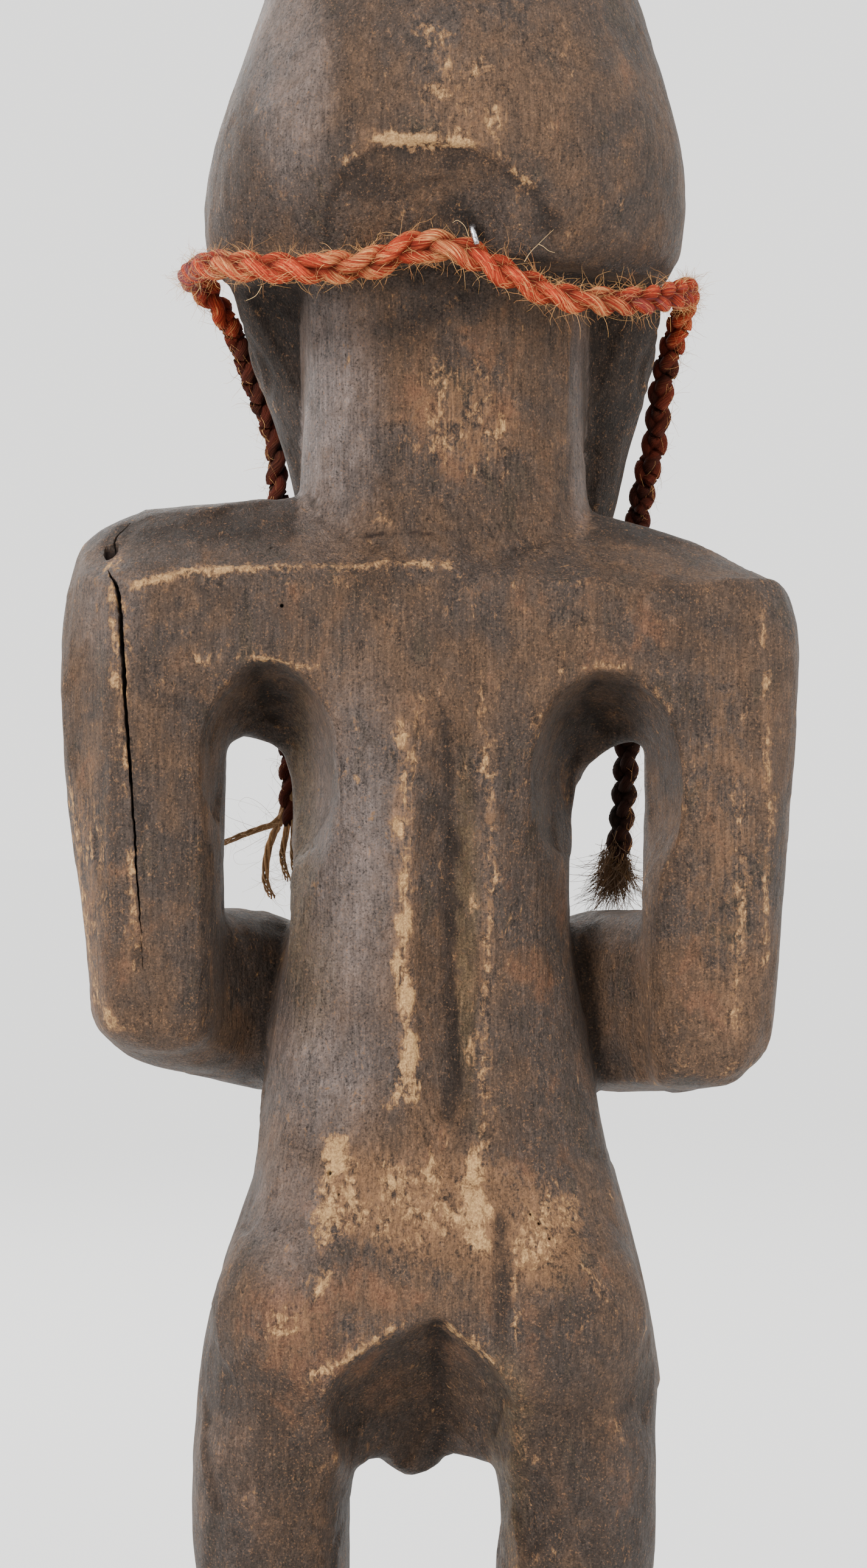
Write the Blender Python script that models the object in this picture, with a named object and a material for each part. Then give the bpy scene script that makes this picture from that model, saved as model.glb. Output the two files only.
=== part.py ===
"""A standing figure carved from one block of wood, with a plaited rope nailed to its nape.

The figure faces -Y and stands on its own low round base. The origin is the centre of the
base's underside. Carved forms are given as shares of the figure's height, 1000 to the whole
height, and anything that fits something else has its own size in metres.
"""

import math

import bmesh
import bpy
from mathutils import Matrix, Vector

# Driving dimensions, in metres
FIGURE_HEIGHT = 0.612
BASE_DIAMETER = 0.158
BASE_HEIGHT = 0.020
BASE_EDGE_ROUND = 0.003
ROPE_DIAMETER = 0.0083
NAIL_DIAMETER = 0.0016
NAIL_DEPTH_IN_WOOD = 0.009
NAIL_STAND_OUT = 0.0068
NAIL_HOOK_DROP = 0.0050
CLEARANCE = 0.0003

# Carving
SHARES = 1000
MID_X = -6.5  # the head and neck stand this far to the figure's right of the body
FACE_X = -12.3  # and the chin a little farther
RING_SIDES = 36
RING_STEP = 8
FUSE_VOXEL = 0.0021
SMOOTHING_ROUNDS = 3
WEAR_VOXEL = 0.0017
FIGURE_TRIANGLES = 8200

# Rope
ROPE_POINT_STEP = 0.0105
ROPE_SIDES_SETTING = 3

WOOD = (0.105, 0.068, 0.047)
ROPE_RED = (0.42, 0.115, 0.055)
STEEL = (0.62, 0.62, 0.64)


def shares(*values):
    """Carved numbers, in thousandths of the figure's height, as metres."""
    scaled = [value * FIGURE_HEIGHT / SHARES for value in values]
    return Vector(scaled) if len(scaled) == 3 else scaled[0]


def clear_scene():
    for thing in list(bpy.data.objects):
        bpy.data.objects.remove(thing)


def material(name, colour, roughness, metallic=0.0):
    made = bpy.data.materials.new(name)
    made.use_nodes = True
    shader = made.node_tree.nodes["Principled BSDF"]
    shader.inputs["Base Color"].default_value = (*colour, 1.0)
    shader.inputs["Roughness"].default_value = roughness
    shader.inputs["Metallic"].default_value = metallic
    return made


def through(rows, step):
    """Rows of numbers again, closer together, on a smooth curve through the given ones."""
    finer = []
    for at in range(len(rows) - 1):
        before = rows[max(at - 1, 0)]
        here, there = rows[at], rows[at + 1]
        after = rows[min(at + 2, len(rows) - 1)]
        parts = max(1, math.ceil(abs(there[0] - here[0]) / step))
        for part in range(parts):
            t = part / parts
            finer.append([
                0.5 * (
                    2 * b + (c - a) * t
                    + (2 * a - 5 * b + 4 * c - d) * t ** 2
                    + (3 * b - a - 3 * c + d) * t ** 3
                )
                for a, b, c, d in zip(before, here, there, after)
            ])
    return finer + [list(rows[-1])]


def signed_power(value, power):
    return math.copysign(abs(value) ** power, value)


def section(half_width, back, widest, front, squareness):
    """Points of one closed cross-section: how far across, and how far back."""
    points = []
    for side in range(RING_SIDES):
        turn = math.tau * side / RING_SIDES
        across = half_width * signed_power(math.cos(turn), 2 / squareness)
        reach = (back - widest) if math.sin(turn) > 0 else (widest - front)
        points.append((across, widest + reach * signed_power(math.sin(turn), 2 / squareness)))
    return points


def skin(mesh, rings):
    """Joins rings of points in order and closes both ends."""
    loops = [[mesh.verts.new(point) for point in ring] for ring in rings]
    for low, high in zip(loops, loops[1:]):
        for side in range(len(low)):
            after = (side + 1) % len(low)
            mesh.faces.new((low[side], low[after], high[after], high[side]))
    mesh.faces.new(loops[0])
    mesh.faces.new(loops[-1])


def upright(mesh, rows, squareness=2.3, step=RING_STEP):
    """A form built of level sections: height, middle, half width, back, widest, front."""
    rings = []
    for height, middle, half, back, widest, front in through(rows, step):
        outline = section(half, back, widest, front, squareness)
        rings.append([shares(middle + x, y, height) for x, y in outline])
    skin(mesh, rings)


def limb(mesh, rows, squareness=2.6):
    """A form along a bent line: x, y, z of its middle, half height, half thickness."""
    finer = through(rows, RING_STEP)
    rings = []
    for at, (x, y, z, tall, thick) in enumerate(finer):
        ahead = Vector(finer[min(at + 1, len(finer) - 1)][:3])
        behind = Vector(finer[max(at - 1, 0)][:3])
        along = (ahead - behind).normalized()
        level = along.cross(Vector((0, 0, 1))).normalized()
        rise = level.cross(along)
        ring = []
        for a, b in section(tall, thick, 0, -thick, squareness):
            place = Vector((x, y, z)) + rise * a + level * b
            ring.append(shares(*place))
        rings.append(ring)
    skin(mesh, rings)


def ball(mesh, middle, radii, tilt=(0, 0, 0)):
    """A stretched ball, in shares of the height, tilted about X, Y and Z in degrees."""
    turn = Matrix.Identity(4)
    for axis, angle in zip("XYZ", tilt):
        turn = Matrix.Rotation(math.radians(angle), 4, axis) @ turn
    place = Matrix.Translation(shares(*middle)) @ turn @ Matrix.Diagonal((*shares(*radii), 1))
    bmesh.ops.create_uvsphere(mesh, u_segments=28, v_segments=18, radius=1, matrix=place)


# The carved forms, from the ground up


def add_leg(mesh, side):
    """Thigh, bent knee, calf and foot of one leg. side is 1 for +X."""
    lean = 2.5
    rows = [
        (30, 55, 27, 34, 4, -30), (52, 56, 24, 28, 3, -24), (88, 58, 29, 36, 4, -28),
        (122, 60, 28.5, 28, -4, -36), (158, 62, 30.5, 23, -14, -49), (192, 64, 32, 28, -8, -44),
        (240, 67.7, 34.3, 42, 0, -38), (265, 67.5, 34.6, 47, 3, -36), (292, 66.5, 34.6, 52, 3, -36),
        (330, 58, 28, 50, 3, -36),
    ]
    upright(mesh, [(z, side * x + lean, half, back, mid, front)
                   for z, x, half, back, mid, front in rows], 2.5)
    foot = [
        (47, 54, 25, 22), (30, 52, 27, 27), (0, 47, 27, 30),
        (-40, 43, 20, 31), (-76, 39, 12, 28), (-86, 36, 6, 20),
    ]
    toes = [(side * (57 + 0.06 * (47 - y)) + lean, y, z, tall, wide)
            for y, z, tall, wide in foot]
    finer = []
    for at in range(len(toes) - 1):
        for part in range(5):
            t = part / 5
            finer.append([a + (b - a) * t for a, b in zip(toes[at], toes[at + 1])])
    finer.append(list(toes[-1]))
    rings = []
    for x, y, z, tall, wide in finer:
        rings.append([shares(x + a, y, z + b) for a, b in section(wide, tall, 0, -tall, 3.2)])
    skin(mesh, rings)


def add_torso(mesh):
    """Hips, waist, belly and chest."""
    upright(mesh, [
        (280, 2.5, 96, 47, 3, -40), (292, 2, 100, 51, 3, -43), (305, 1, 102.5, 55, 3, -45),
        (318, 0.5, 102, 59, 3, -47), (332, 0, 99.6, 62.5, 3, -49), (345, -0.2, 97, 63.5, 3, -50),
        (359, -0.6, 94.1, 62.5, 3, -52), (372, -0.7, 90.6, 61.5, 2, -54), (386, -1.2, 86.2, 58.5, 0, -55),
        (400, -2.2, 81.8, 54.5, 0, -57), (413, -1.3, 78.7, 51, -2, -59), (427, -0.4, 76.5, 48, -4, -60.5),
        (440, 0, 74.7, 45.5, -5, -62), (470, 0, 69.5, 42, -8, -63.5), (500, 0, 65, 41, -8, -61),
        (530, 0, 62.2, 42.5, -7, -55), (561, -0.5, 63.6, 45.5, -4, -50), (575, -1.8, 65.4, 46.5, -3, -48.5),
        (585, -3.4, 68.6, 47.5, -2, -48), (592, -6, 74, 48, -2, -47.5), (598, -8, 81, 49, -2, -47.5),
        (636, -2, 80, 50, 0, -47.5), (668, 0, 70, 45, 0, -44),
    ], 2.5)


def add_shoulders(mesh):
    """The broad yoke, flat at the back, with a flat slope above the ridge along its top."""
    rows = [
        (-162, 618, 641, 646, 18, -8), (-159, 607, 648, 659, 33, -20),
        (-152, 602, 653, 668, 42, -28), (-128, 600, 658, 681, 48, -36),
        (-108, 600, 661, 689, 49.5, -41), (-76, 599, 664, 697, 50, -44),
        (-20, 592, 667, 702, 50.5, -47), (30, 592, 668, 704, 50.5, -47),
        (76, 599, 668, 705, 50, -44), (112, 600, 667, 702, 49.5, -41),
        (134, 600, 664, 698, 48, -36), (148, 602, 660, 690, 42, -28),
        (157, 607, 654, 679, 33, -20), (162, 618, 645, 655, 18, -8),
    ]
    rings = []
    for place, under, ridge, top, back, front in through(rows, RING_STEP):
        rise, deep = top - under, back - front
        rings.append([shares(place, y, z) for y, z in (
            (back - 0.10 * deep, under), (back - 0.02 * deep, under + 0.10 * rise),
            (back, ridge - 0.25 * rise), (back, ridge),
            (back - 0.42 * deep, top - 0.03 * rise), (back - 0.55 * deep, top),
            (front + 0.20 * deep, top - 0.04 * rise), (front + 0.05 * deep, top - 0.16 * rise),
            (front, ridge - 0.25 * rise), (front, under + 0.20 * rise), (front + 0.10 * deep, under),
        )])
    skin(mesh, rings)


UPPER_ARM = {
    1: [
        (461, 116, 17, 30, 8, -10), (469, 119, 24, 38, 7, -18), (480, 120.5, 29.5, 42, 5, -24),
        (496, 121, 29.2, 44, 4, -25), (520, 122.4, 30.2, 46, 8, -22), (536, 123.2, 31.3, 46.5, 10, -20),
        (561, 124.6, 34.2, 47, 12, -20), (595, 125.8, 35.6, 48.5, 12, -20),
        (640, 126, 36, 49, 12, -24), (668, 124, 30, 44, 8, -26),
    ],
    -1: [
        (446, 114, 17, 28, 8, -10), (454, 119, 23, 37, 7, -18), (467, 122, 28.2, 42, 5, -24),
        (481, 123, 29, 43, 4, -25), (505, 124.5, 30, 45, 6, -23), (535, 125, 30.5, 46.5, 10, -20),
        (561, 125.7, 31.2, 47, 12, -20), (595, 127, 32.4, 48.5, 12, -20),
        (640, 128, 34, 49, 12, -24), (668, 124, 30, 44, 8, -26),
    ],
}
FOREARM = {
    1: [
        (128, 12, 495, 30, 22), (116, -2, 487, 34.5, 26), (90, -33, 483, 38.5, 26),
        (72, -51, 480, 41, 23), (52, -66, 486, 33, 18), (38, -74, 500, 24, 12),
    ],
    -1: [
        (126, 12, 487, 38, 22), (114, -2, 482, 39.5, 26), (90, -33, 480.5, 41, 26),
        (72, -51, 480, 41.5, 23), (52, -66, 486, 33, 18), (38, -74, 500, 24, 12),
    ],
}


def add_upper_arm(mesh, side):
    """The upper arm, which hangs straight down to a squared elbow."""
    upright(mesh, [(z, side * x, half, back, mid, front)
                   for z, x, half, back, mid, front in UPPER_ARM[side]], 3.4)


def add_forearm(mesh, side):
    """The forearm, which comes forward and in, and the hand laid flat on the belly."""
    limb(mesh, [(side * x, y, z, tall, thick) for x, y, z, tall, thick in FOREARM[side]], 2.8)
    limb(mesh, [
        (side * 54, -66, 496, 25, 15), (side * 36, -70, 500, 25, 12),
        (side * 20, -70, 502, 24, 11), (side * 6, -69, 503, 19, 9),
    ], 3.0)


def add_neck(mesh):
    """The thick round neck, with a small flare where it meets the shoulders."""
    upright(mesh, [
        (672, -3, 88, 42, -8, -52), (688, MID_X, 73, 36, -10, -56),
        (703, MID_X, 65, 32, -12, -60), (722, MID_X, 63.5, 31, -12, -62),
        (760, MID_X, 63.5, 32, -12, -64), (798, MID_X, 63.5, 34, -12, -66),
        (826, MID_X, 61, 33, -12, -66),
    ], 2.2)


def add_cranium(mesh):
    """The egg-shaped top of the head, cut off level below."""
    upright(mesh, [
        (802, MID_X + 0.5, 98, 58, -6, -86), (808, MID_X + 0.3, 103, 63, -6, -88),
        (817, MID_X, 105.8, 68, -6, -90),
        (832, MID_X - 0.3, 106.8, 74, -6, -91), (848, MID_X - 1.2, 106, 78, -6, -91),
        (864, MID_X - 1.6, 103.6, 79, -6, -90), (879, MID_X - 2.3, 98.8, 77, -6, -88),
        (896, MID_X - 2.5, 93.6, 72.5, -6, -84), (912, MID_X - 2.8, 88.4, 67, -6, -80),
        (928, MID_X - 2.8, 82.6, 60, -6, -74), (945, MID_X - 2.5, 74.5, 51, -6, -66),
        (961, MID_X - 2.5, 64, 40, -6, -56), (975, MID_X - 2, 51.5, 28, -6, -45),
        (987, MID_X - 2, 37, 15, -6, -32), (996, MID_X - 2, 20, 3, -6, -18),
        (1000, MID_X - 2, 8, -1, -6, -11),
    ], 2.25, 6)


def add_face(mesh):
    """The long face, which narrows down to a chin in front of the chest."""
    upright(mesh, [
        (640, FACE_X, 14, -66, -80, -96), (652, FACE_X, 35, -56, -76, -106),
        (670, FACE_X, 57, -48, -70, -111), (690, FACE_X, 69, -40, -62, -112),
        (704, FACE_X, 74, -36, -58, -111), (720, FACE_X, 77, -30, -54, -110),
        (735, FACE_X + 0.5, 80.5, -24, -49, -108), (750, FACE_X + 0.5, 85.5, -18, -45, -106),
        (773, FACE_X + 1, 91.5, -10, -40, -103), (795, FACE_X + 3, 96, -3, -36, -99),
        (822, FACE_X + 5, 94, 0, -38, -96), (850, FACE_X + 5, 80, -10, -40, -94),
    ], 2.3)


def add_ear(mesh, side):
    """A small half-round ear, low on the side of the face."""
    ball(mesh, (FACE_X + 2 + side * 84.5, -41, 772), (8, 9, 15))


def add_features(mesh):
    """The long nose, the brow ridge, the eyelids and the lips, on the front of the face."""
    middle = FACE_X + 2
    upright(mesh, [
        (742, middle, 8, -92, -106, -113), (747, middle, 14, -92, -106, -120),
        (756, middle, 15.5, -92, -106, -124), (770, middle, 12, -90, -104, -121),
        (792, middle, 9, -88, -100, -114), (818, middle, 8, -84, -96, -107),
        (844, middle, 9, -80, -92, -101),
    ], 2.2, 4)
    for side in (1, -1):
        limb(mesh, [
            (middle + side * 6, -96, 843, 8, 8), (middle + side * 36, -94, 841, 8, 8),
            (middle + side * 64, -78, 828, 6, 7), (middle + side * 78, -62, 815, 4, 5),
        ], 2.2)
        limb(mesh, [
            (middle + side * 18, -104, 797, 6, 7), (middle + side * 36, -100, 800, 9, 8),
            (middle + side * 56, -90, 797, 5, 6),
        ], 2.1)
    ball(mesh, (middle, -108, 711), (26, 10, 7))
    ball(mesh, (middle, -107, 700), (23, 10, 7))


def add_loins(mesh):
    """The small rounded form between the thighs, and the buttocks."""
    ball(mesh, (8.5, -12, 284), (15, 20, 15))
    for side in (1, -1):
        ball(mesh, (side * 44, 30, 345), (52, 35.5, 52))


def add_base(mesh):
    """The low round base, run on a little below the ground plane where it is cut off flat."""
    radius, height = BASE_DIAMETER / 2, BASE_HEIGHT
    place = Matrix.Translation((0, 0, height / 2 - BASE_EDGE_ROUND))
    made = bmesh.ops.create_cone(
        mesh, cap_ends=True, segments=72, radius1=radius, radius2=radius,
        depth=height + 2 * BASE_EDGE_ROUND, matrix=place,
    )
    rim = [edge for edge in mesh.edges
           if all(v in made["verts"] and v.co.z > height / 2 for v in edge.verts)]
    bmesh.ops.bevel(mesh, geom=rim, offset=BASE_EDGE_ROUND, segments=3, affect="EDGES")


# The cuts


def cutter(name, draw):
    """A closed shape that a Boolean takes away. It isn't part of the object."""
    mesh = bmesh.new()
    draw(mesh)
    bmesh.ops.recalc_face_normals(mesh, faces=mesh.faces)
    data = bpy.data.meshes.new(name)
    mesh.to_mesh(data)
    mesh.free()
    made = bpy.data.objects.new(name, data)
    made.display_type = "WIRE"
    made.hide_render = True
    bpy.context.scene.collection.objects.link(made)
    return made


def cut_nape(mesh):
    """The sloping face under an arched edge at the back of the head, down to the neck."""
    arch = [
        (44, -64), (44, -36), (40, -14), (28, -4), (4, 0), (-21, -4), (-43, -18),
        (-49, -27), (-53, -43), (-53, -64),
    ]
    rings = []
    for back, apex, width in ((96, 875, 1.06), (78, 850, 1), (64, 826, 0.97), (42, 789, 0.93)):
        rings.append([shares(-4 + (x + 4) * width, back, apex + drop) for x, drop in arch])
    skin(mesh, rings)


def cut_armpits(mesh):
    """The scoops that open the gaps between the arms and the waist from behind."""
    ball(mesh, (69, 68, 577), (31, 84, 56))
    ball(mesh, (-76, 68, 574), (34, 84, 54))


def cut_arm_bevel(mesh):
    """The flat plane along the outer back edge of the figure's left arm."""
    rings = []
    for height, inner, outer in ((440, 128, 146), (520, 134, 158), (600, 136, 166), (720, 134, 168)):
        rings.append([
            shares(inner - 16, 70, height), shares(inner, 51, height),
            shares(outer, 12, height), shares(outer + 40, 12, height), shares(outer + 40, 70, height),
        ])
    skin(mesh, rings)


def cut_spine(mesh):
    """The groove down the spine, steep on its left and gentle on its right."""
    rows = [
        (626, -2, -4, -6, 50.5, 0.5), (612, 4, -6, -15, 50.5, 5), (590, 10, -8, -25, 48.5, 8),
        (545, 12, -9, -27, 45.5, 9), (495, 9, -9, -27, 41.5, 9), (450, 7, -9, -22, 44, 8),
        (415, 2, -8, -18, 50.5, 6), (385, -8, -11, -14, 58.5, 1.5),
    ]
    rings = []
    for height, left, deep, right, surface, depth in through(rows, RING_STEP):
        out = surface + 14
        rings.append([
            shares(left, surface + 1.5, height), shares(deep, surface - depth, height),
            shares(right, surface + 1.5, height), shares(right - 6, out, height),
            shares(left + 6, out, height),
        ])
    skin(mesh, rings)


def cut_seat(mesh):
    """The notch like an inverted V below the buttocks, which runs in to the crotch."""
    rows = [
        (100, 356, 1.05), (62, 352, 1), (45, 342, 0.92), (25, 322, 0.78), (6, 298, 0.6), (-4, 284, 0.5),
    ]
    rings = []
    for back, apex, width in through(rows, RING_STEP):
        rings.append([
            shares(-4.5 + across * width, back, apex - drop) for across, drop in (
                (0, 0), (25, 12), (44, 26), (50, 40), (46, 56), (40, 100),
                (-27, 100), (-34, 54), (-32, 36), (-20, 17),
            )
        ])
    skin(mesh, rings)


def cut_fingers(mesh):
    """Shallow grooves between the fingers and the toes, the eyes and the mouth."""
    for side in (1, -1):
        for finger in (-1, 0, 1):
            ball(mesh, (side * 17, -84, 508 + 11.5 * finger), (16, 6, 1.9), (0, side * -6, 0))
        for toe in (-1.5, -0.5, 0.5, 1.5):
            ball(mesh, (side * 65 + toe * 11, -84, 44), (1.8, 16, 9), (20, 0, 0))
        ball(mesh, (FACE_X + 2 + side * 37, -110, 800), (14, 8, 2.2))
    ball(mesh, (FACE_X + 2, -121, 705.5), (19, 7, 1.8))


def nail_place():
    """The point on the nape where the nail goes in, and the way out of the wood there."""
    return shares(MID_X - 12, 58.3, 816.5), Vector((0.05, 0.94, -0.16)).normalized()


def nail_line():
    """The nail's bent middle line, from its point in the wood to its beaten-down end."""
    place, out = nail_place()
    down = Vector((-0.30, 0.08, -1)).normalized()
    corner = place + out * NAIL_STAND_OUT
    return [
        place - out * NAIL_DEPTH_IN_WOOD, place, corner - out * 0.0016,
        corner + down * 0.0004 - out * 0.0004, corner + down * 0.0018,
        corner + down * NAIL_HOOK_DROP,
    ]


def cut_nail_hole(mesh):
    """The hole that the nail stands in, wider than the nail by the clearance all round."""
    place, out = nail_place()
    turn = out.to_track_quat("Z", "Y").to_matrix().to_4x4()
    length = NAIL_DEPTH_IN_WOOD + CLEARANCE + 0.006
    middle = place + out * (0.006 - length / 2)
    bmesh.ops.create_cone(
        mesh, cap_ends=True, segments=12, radius1=NAIL_DIAMETER / 2 + CLEARANCE,
        radius2=NAIL_DIAMETER / 2 + CLEARANCE, depth=length,
        matrix=Matrix.Translation(middle) @ turn,
    )


def cut_ground(mesh):
    """Everything below the ground plane."""
    deep = 0.03
    place = Matrix.Translation((0, 0, -deep / 2)) @ Matrix.Diagonal((0.4, 0.4, deep, 1))
    bmesh.ops.create_cube(mesh, size=1, matrix=place)


def take_away(figure, tool):
    step = figure.modifiers.new(tool.name, "BOOLEAN")
    step.operation = "DIFFERENCE"
    step.solver = "EXACT"
    step.object = tool


def add_figure():
    """The whole carving, fused from its forms, cut, and faceted."""
    mesh = bmesh.new()
    add_base(mesh)
    for side in (1, -1):
        add_leg(mesh, side)
        add_upper_arm(mesh, side)
        add_forearm(mesh, side)
        add_ear(mesh, side)
    add_torso(mesh)
    add_loins(mesh)
    add_shoulders(mesh)
    add_neck(mesh)
    add_cranium(mesh)
    add_face(mesh)
    add_features(mesh)
    bmesh.ops.recalc_face_normals(mesh, faces=mesh.faces)
    data = bpy.data.meshes.new("figure")
    mesh.to_mesh(data)
    mesh.free()
    figure = bpy.data.objects.new("figure", data)
    bpy.context.scene.collection.objects.link(figure)
    data.materials.append(material("wood", WOOD, 0.62))

    fuse = figure.modifiers.new("fuse", "REMESH")
    fuse.mode = "VOXEL"
    fuse.voxel_size = FUSE_VOXEL
    soften = figure.modifiers.new("soften", "SMOOTH")
    soften.factor = 0.5
    soften.iterations = SMOOTHING_ROUNDS
    for name, draw in (
        ("armpits", cut_armpits), ("arm_bevel", cut_arm_bevel), ("nape", cut_nape),
        ("spine", cut_spine), ("seat", cut_seat), ("fingers", cut_fingers),
    ):
        take_away(figure, cutter(name + "_cut", draw))
    wear = figure.modifiers.new("wear", "REMESH")
    wear.mode = "VOXEL"
    wear.voxel_size = WEAR_VOXEL
    rub = figure.modifiers.new("rub", "SMOOTH")
    rub.factor = 0.3
    rub.iterations = SMOOTHING_ROUNDS
    return figure


def facet(figure):
    """Brings the carving down to its number of triangles, then makes its exact cuts."""
    depsgraph = bpy.context.evaluated_depsgraph_get()
    shown = figure.evaluated_get(depsgraph).to_mesh()
    shown.calc_loop_triangles()
    count = len(shown.loop_triangles)
    even = figure.modifiers.new("even", "TRIANGULATE")
    even.quad_method = "BEAUTY"
    fewer = figure.modifiers.new("fewer", "DECIMATE")
    fewer.ratio = FIGURE_TRIANGLES / count
    take_away(figure, cutter("ground_cut", cut_ground))
    take_away(figure, cutter("nail_hole_cut", cut_nail_hole))


# What is on the figure


def add_nail():
    """The bent wire nail that holds the rope to the nape."""
    line = bpy.data.curves.new("nail", "CURVE")
    line.dimensions = "3D"
    line.bevel_depth = NAIL_DIAMETER / 2
    line.bevel_resolution = 2
    line.use_fill_caps = True
    points = nail_line()
    path = line.splines.new("POLY")
    path.points.add(len(points) - 1)
    for point, place in zip(path.points, points):
        point.co = (*place, 1)
    line.materials.append(material("nail_steel", STEEL, 0.35, 1.0))
    made = bpy.data.objects.new("nail", line)
    bpy.context.scene.collection.objects.link(made)


# The rope's middle line in metres, from its end on the figure's left, over the ears and
# round the nape, to its end on the figure's right
ROPE_ROUTE = [
    (0.0395, -0.0405, 0.3420), (0.0400, -0.0430, 0.3700), (0.0415, -0.0455, 0.4000),
    (0.0430, -0.0478, 0.4260), (0.0437, -0.0482, 0.4400), (0.0442, -0.0480, 0.4510),
    (0.0472, -0.0452, 0.4600), (0.0506, -0.0412, 0.4685), (0.0536, -0.0378, 0.4770),
    (0.0574, -0.0330, 0.4850), (0.0625, -0.0235, 0.4915), (0.0647, -0.0100, 0.4928),
    (0.0632, 0.0070, 0.4926), (0.0564, 0.0245, 0.4914), (0.0430, 0.0370, 0.4888),
    (0.0300, 0.0414, 0.4882), (0.0165, 0.0390, 0.4892), (0.0040, 0.0381, 0.4940),
    (-0.0080, 0.0383, 0.4932), (-0.0200, 0.0376, 0.4872), (-0.0330, 0.0358, 0.4818),
    (-0.0450, 0.0320, 0.4808), (-0.0575, 0.0240, 0.4822), (-0.0670, 0.0110, 0.4856),
    (-0.0706, -0.0050, 0.4886), (-0.0712, -0.0200, 0.4884), (-0.0692, -0.0310, 0.4805),
    (-0.0664, -0.0378, 0.4700), (-0.0650, -0.0412, 0.4600), (-0.0638, -0.0440, 0.4500),
    (-0.0614, -0.0465, 0.4400), (-0.0593, -0.0478, 0.4280), (-0.0578, -0.0470, 0.4050),
    (-0.0566, -0.0450, 0.3780), (-0.0556, -0.0425, 0.3560), (-0.0528, -0.0405, 0.3280),
]


def smooth_route(route, step):
    """Points about a step apart on the smooth curve through the rope's own points."""
    dense = []
    for at in range(len(route) - 1):
        knots = [Vector(route[min(max(at + k, 0), len(route) - 1)]) for k in (-1, 0, 1, 2)]
        a, b, c, d = knots
        for part in range(12):
            t = part / 12
            dense.append(0.5 * (
                2 * b + (c - a) * t + (2 * a - 5 * b + 4 * c - d) * t ** 2
                + (3 * b - a - 3 * c + d) * t ** 3
            ))
    dense.append(Vector(route[-1]))
    gone, total = [0.0], 0.0
    for here, there in zip(dense, dense[1:]):
        total += (there - here).length
        gone.append(total)
    count = round(total / step)
    points, at = [], 0
    for index in range(count + 1):
        want = total * index / count
        while at < len(gone) - 2 and gone[at + 1] < want:
            at += 1
        share = (want - gone[at]) / (gone[at + 1] - gone[at])
        points.append(dense[at].lerp(dense[at + 1], share))
    return points


def add_rope():
    """The plain round solid that the plaited rope fills."""
    line = bpy.data.curves.new("rope", "CURVE")
    line.dimensions = "3D"
    line.bevel_depth = ROPE_DIAMETER / 2
    line.bevel_resolution = ROPE_SIDES_SETTING
    line.use_fill_caps = True
    points = smooth_route(ROPE_ROUTE, ROPE_POINT_STEP)
    path = line.splines.new("POLY")
    path.points.add(len(points) - 1)
    for point, place in zip(path.points, points):
        point.co = (*place, 1)
    line.materials.append(material("rope_fibre", ROPE_RED, 0.9))
    made = bpy.data.objects.new("rope", line)
    bpy.context.scene.collection.objects.link(made)


def main():
    clear_scene()
    figure = add_figure()
    facet(figure)
    add_nail()
    add_rope()


main()
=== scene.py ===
# %% [markdown]
# # A carved wooden figure with a plaited rope
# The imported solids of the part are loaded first. They fix every place and every size, so
# nothing here is fitted by eye: each piece is made over the solid that it stands for.

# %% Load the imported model
import math

import bpy
import numpy as np
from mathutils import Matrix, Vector
from mathutils.bvhtree import BVHTree
from mathutils.kdtree import KDTree


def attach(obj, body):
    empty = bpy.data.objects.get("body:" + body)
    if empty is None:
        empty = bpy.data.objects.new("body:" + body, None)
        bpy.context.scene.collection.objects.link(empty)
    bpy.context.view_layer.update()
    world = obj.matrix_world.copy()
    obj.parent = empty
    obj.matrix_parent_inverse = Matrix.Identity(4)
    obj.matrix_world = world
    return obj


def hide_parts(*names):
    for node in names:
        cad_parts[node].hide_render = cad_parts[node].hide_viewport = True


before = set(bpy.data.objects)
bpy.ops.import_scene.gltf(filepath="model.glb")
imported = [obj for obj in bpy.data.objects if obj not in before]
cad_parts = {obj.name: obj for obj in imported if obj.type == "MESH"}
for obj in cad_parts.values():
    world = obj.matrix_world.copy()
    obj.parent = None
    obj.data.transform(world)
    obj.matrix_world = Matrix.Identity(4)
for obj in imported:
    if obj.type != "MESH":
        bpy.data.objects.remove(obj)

bpy.ops.object.select_all(action="DESELECT")
bpy.context.view_layer.update()

# %% [markdown]
# ## The camera
# The picture was taken level, from straight behind, with the lens at the height of the
# waist and a little under a metre away. A lens in Blender is given for a film 36 mm long,
# and the picture's long side is 2576 pixels, so the zoom in pixels gives the lens.

# %% Place the camera
WIDE, HIGH = 1425, 2576
ZOOM = 5625
FILM = 36
EYE = Vector((-0.00104, 0.931, 0.354))

bpy.ops.object.camera_add(location=EYE, rotation=(math.pi / 2, 0, math.pi))
camera = bpy.context.object
camera.data.lens = FILM * ZOOM / HIGH
camera.data.clip_start = 0.02
bpy.context.scene.camera = camera
print("lens:", round(camera.data.lens, 1), "mm")


# %% Find the place behind a pixel
def at_pixel(x, y, depth):
    """The point seen at a pixel of the picture, at a given place along Y."""
    away = (EYE.y - depth) / ZOOM
    return Vector((EYE.x + (WIDE / 2 - x) * away, depth, EYE.z + (HIGH / 2 - y) * away))


# %% [markdown]
# ## The rope's line
# The rope is a plait of three thick yarns that hangs over the ears and round the nape. Its
# middle line is the one that the solid follows. A Catmull-Rom curve goes through all its
# points, which keeps it where it was measured, and even steps keep the plait regular.

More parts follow.
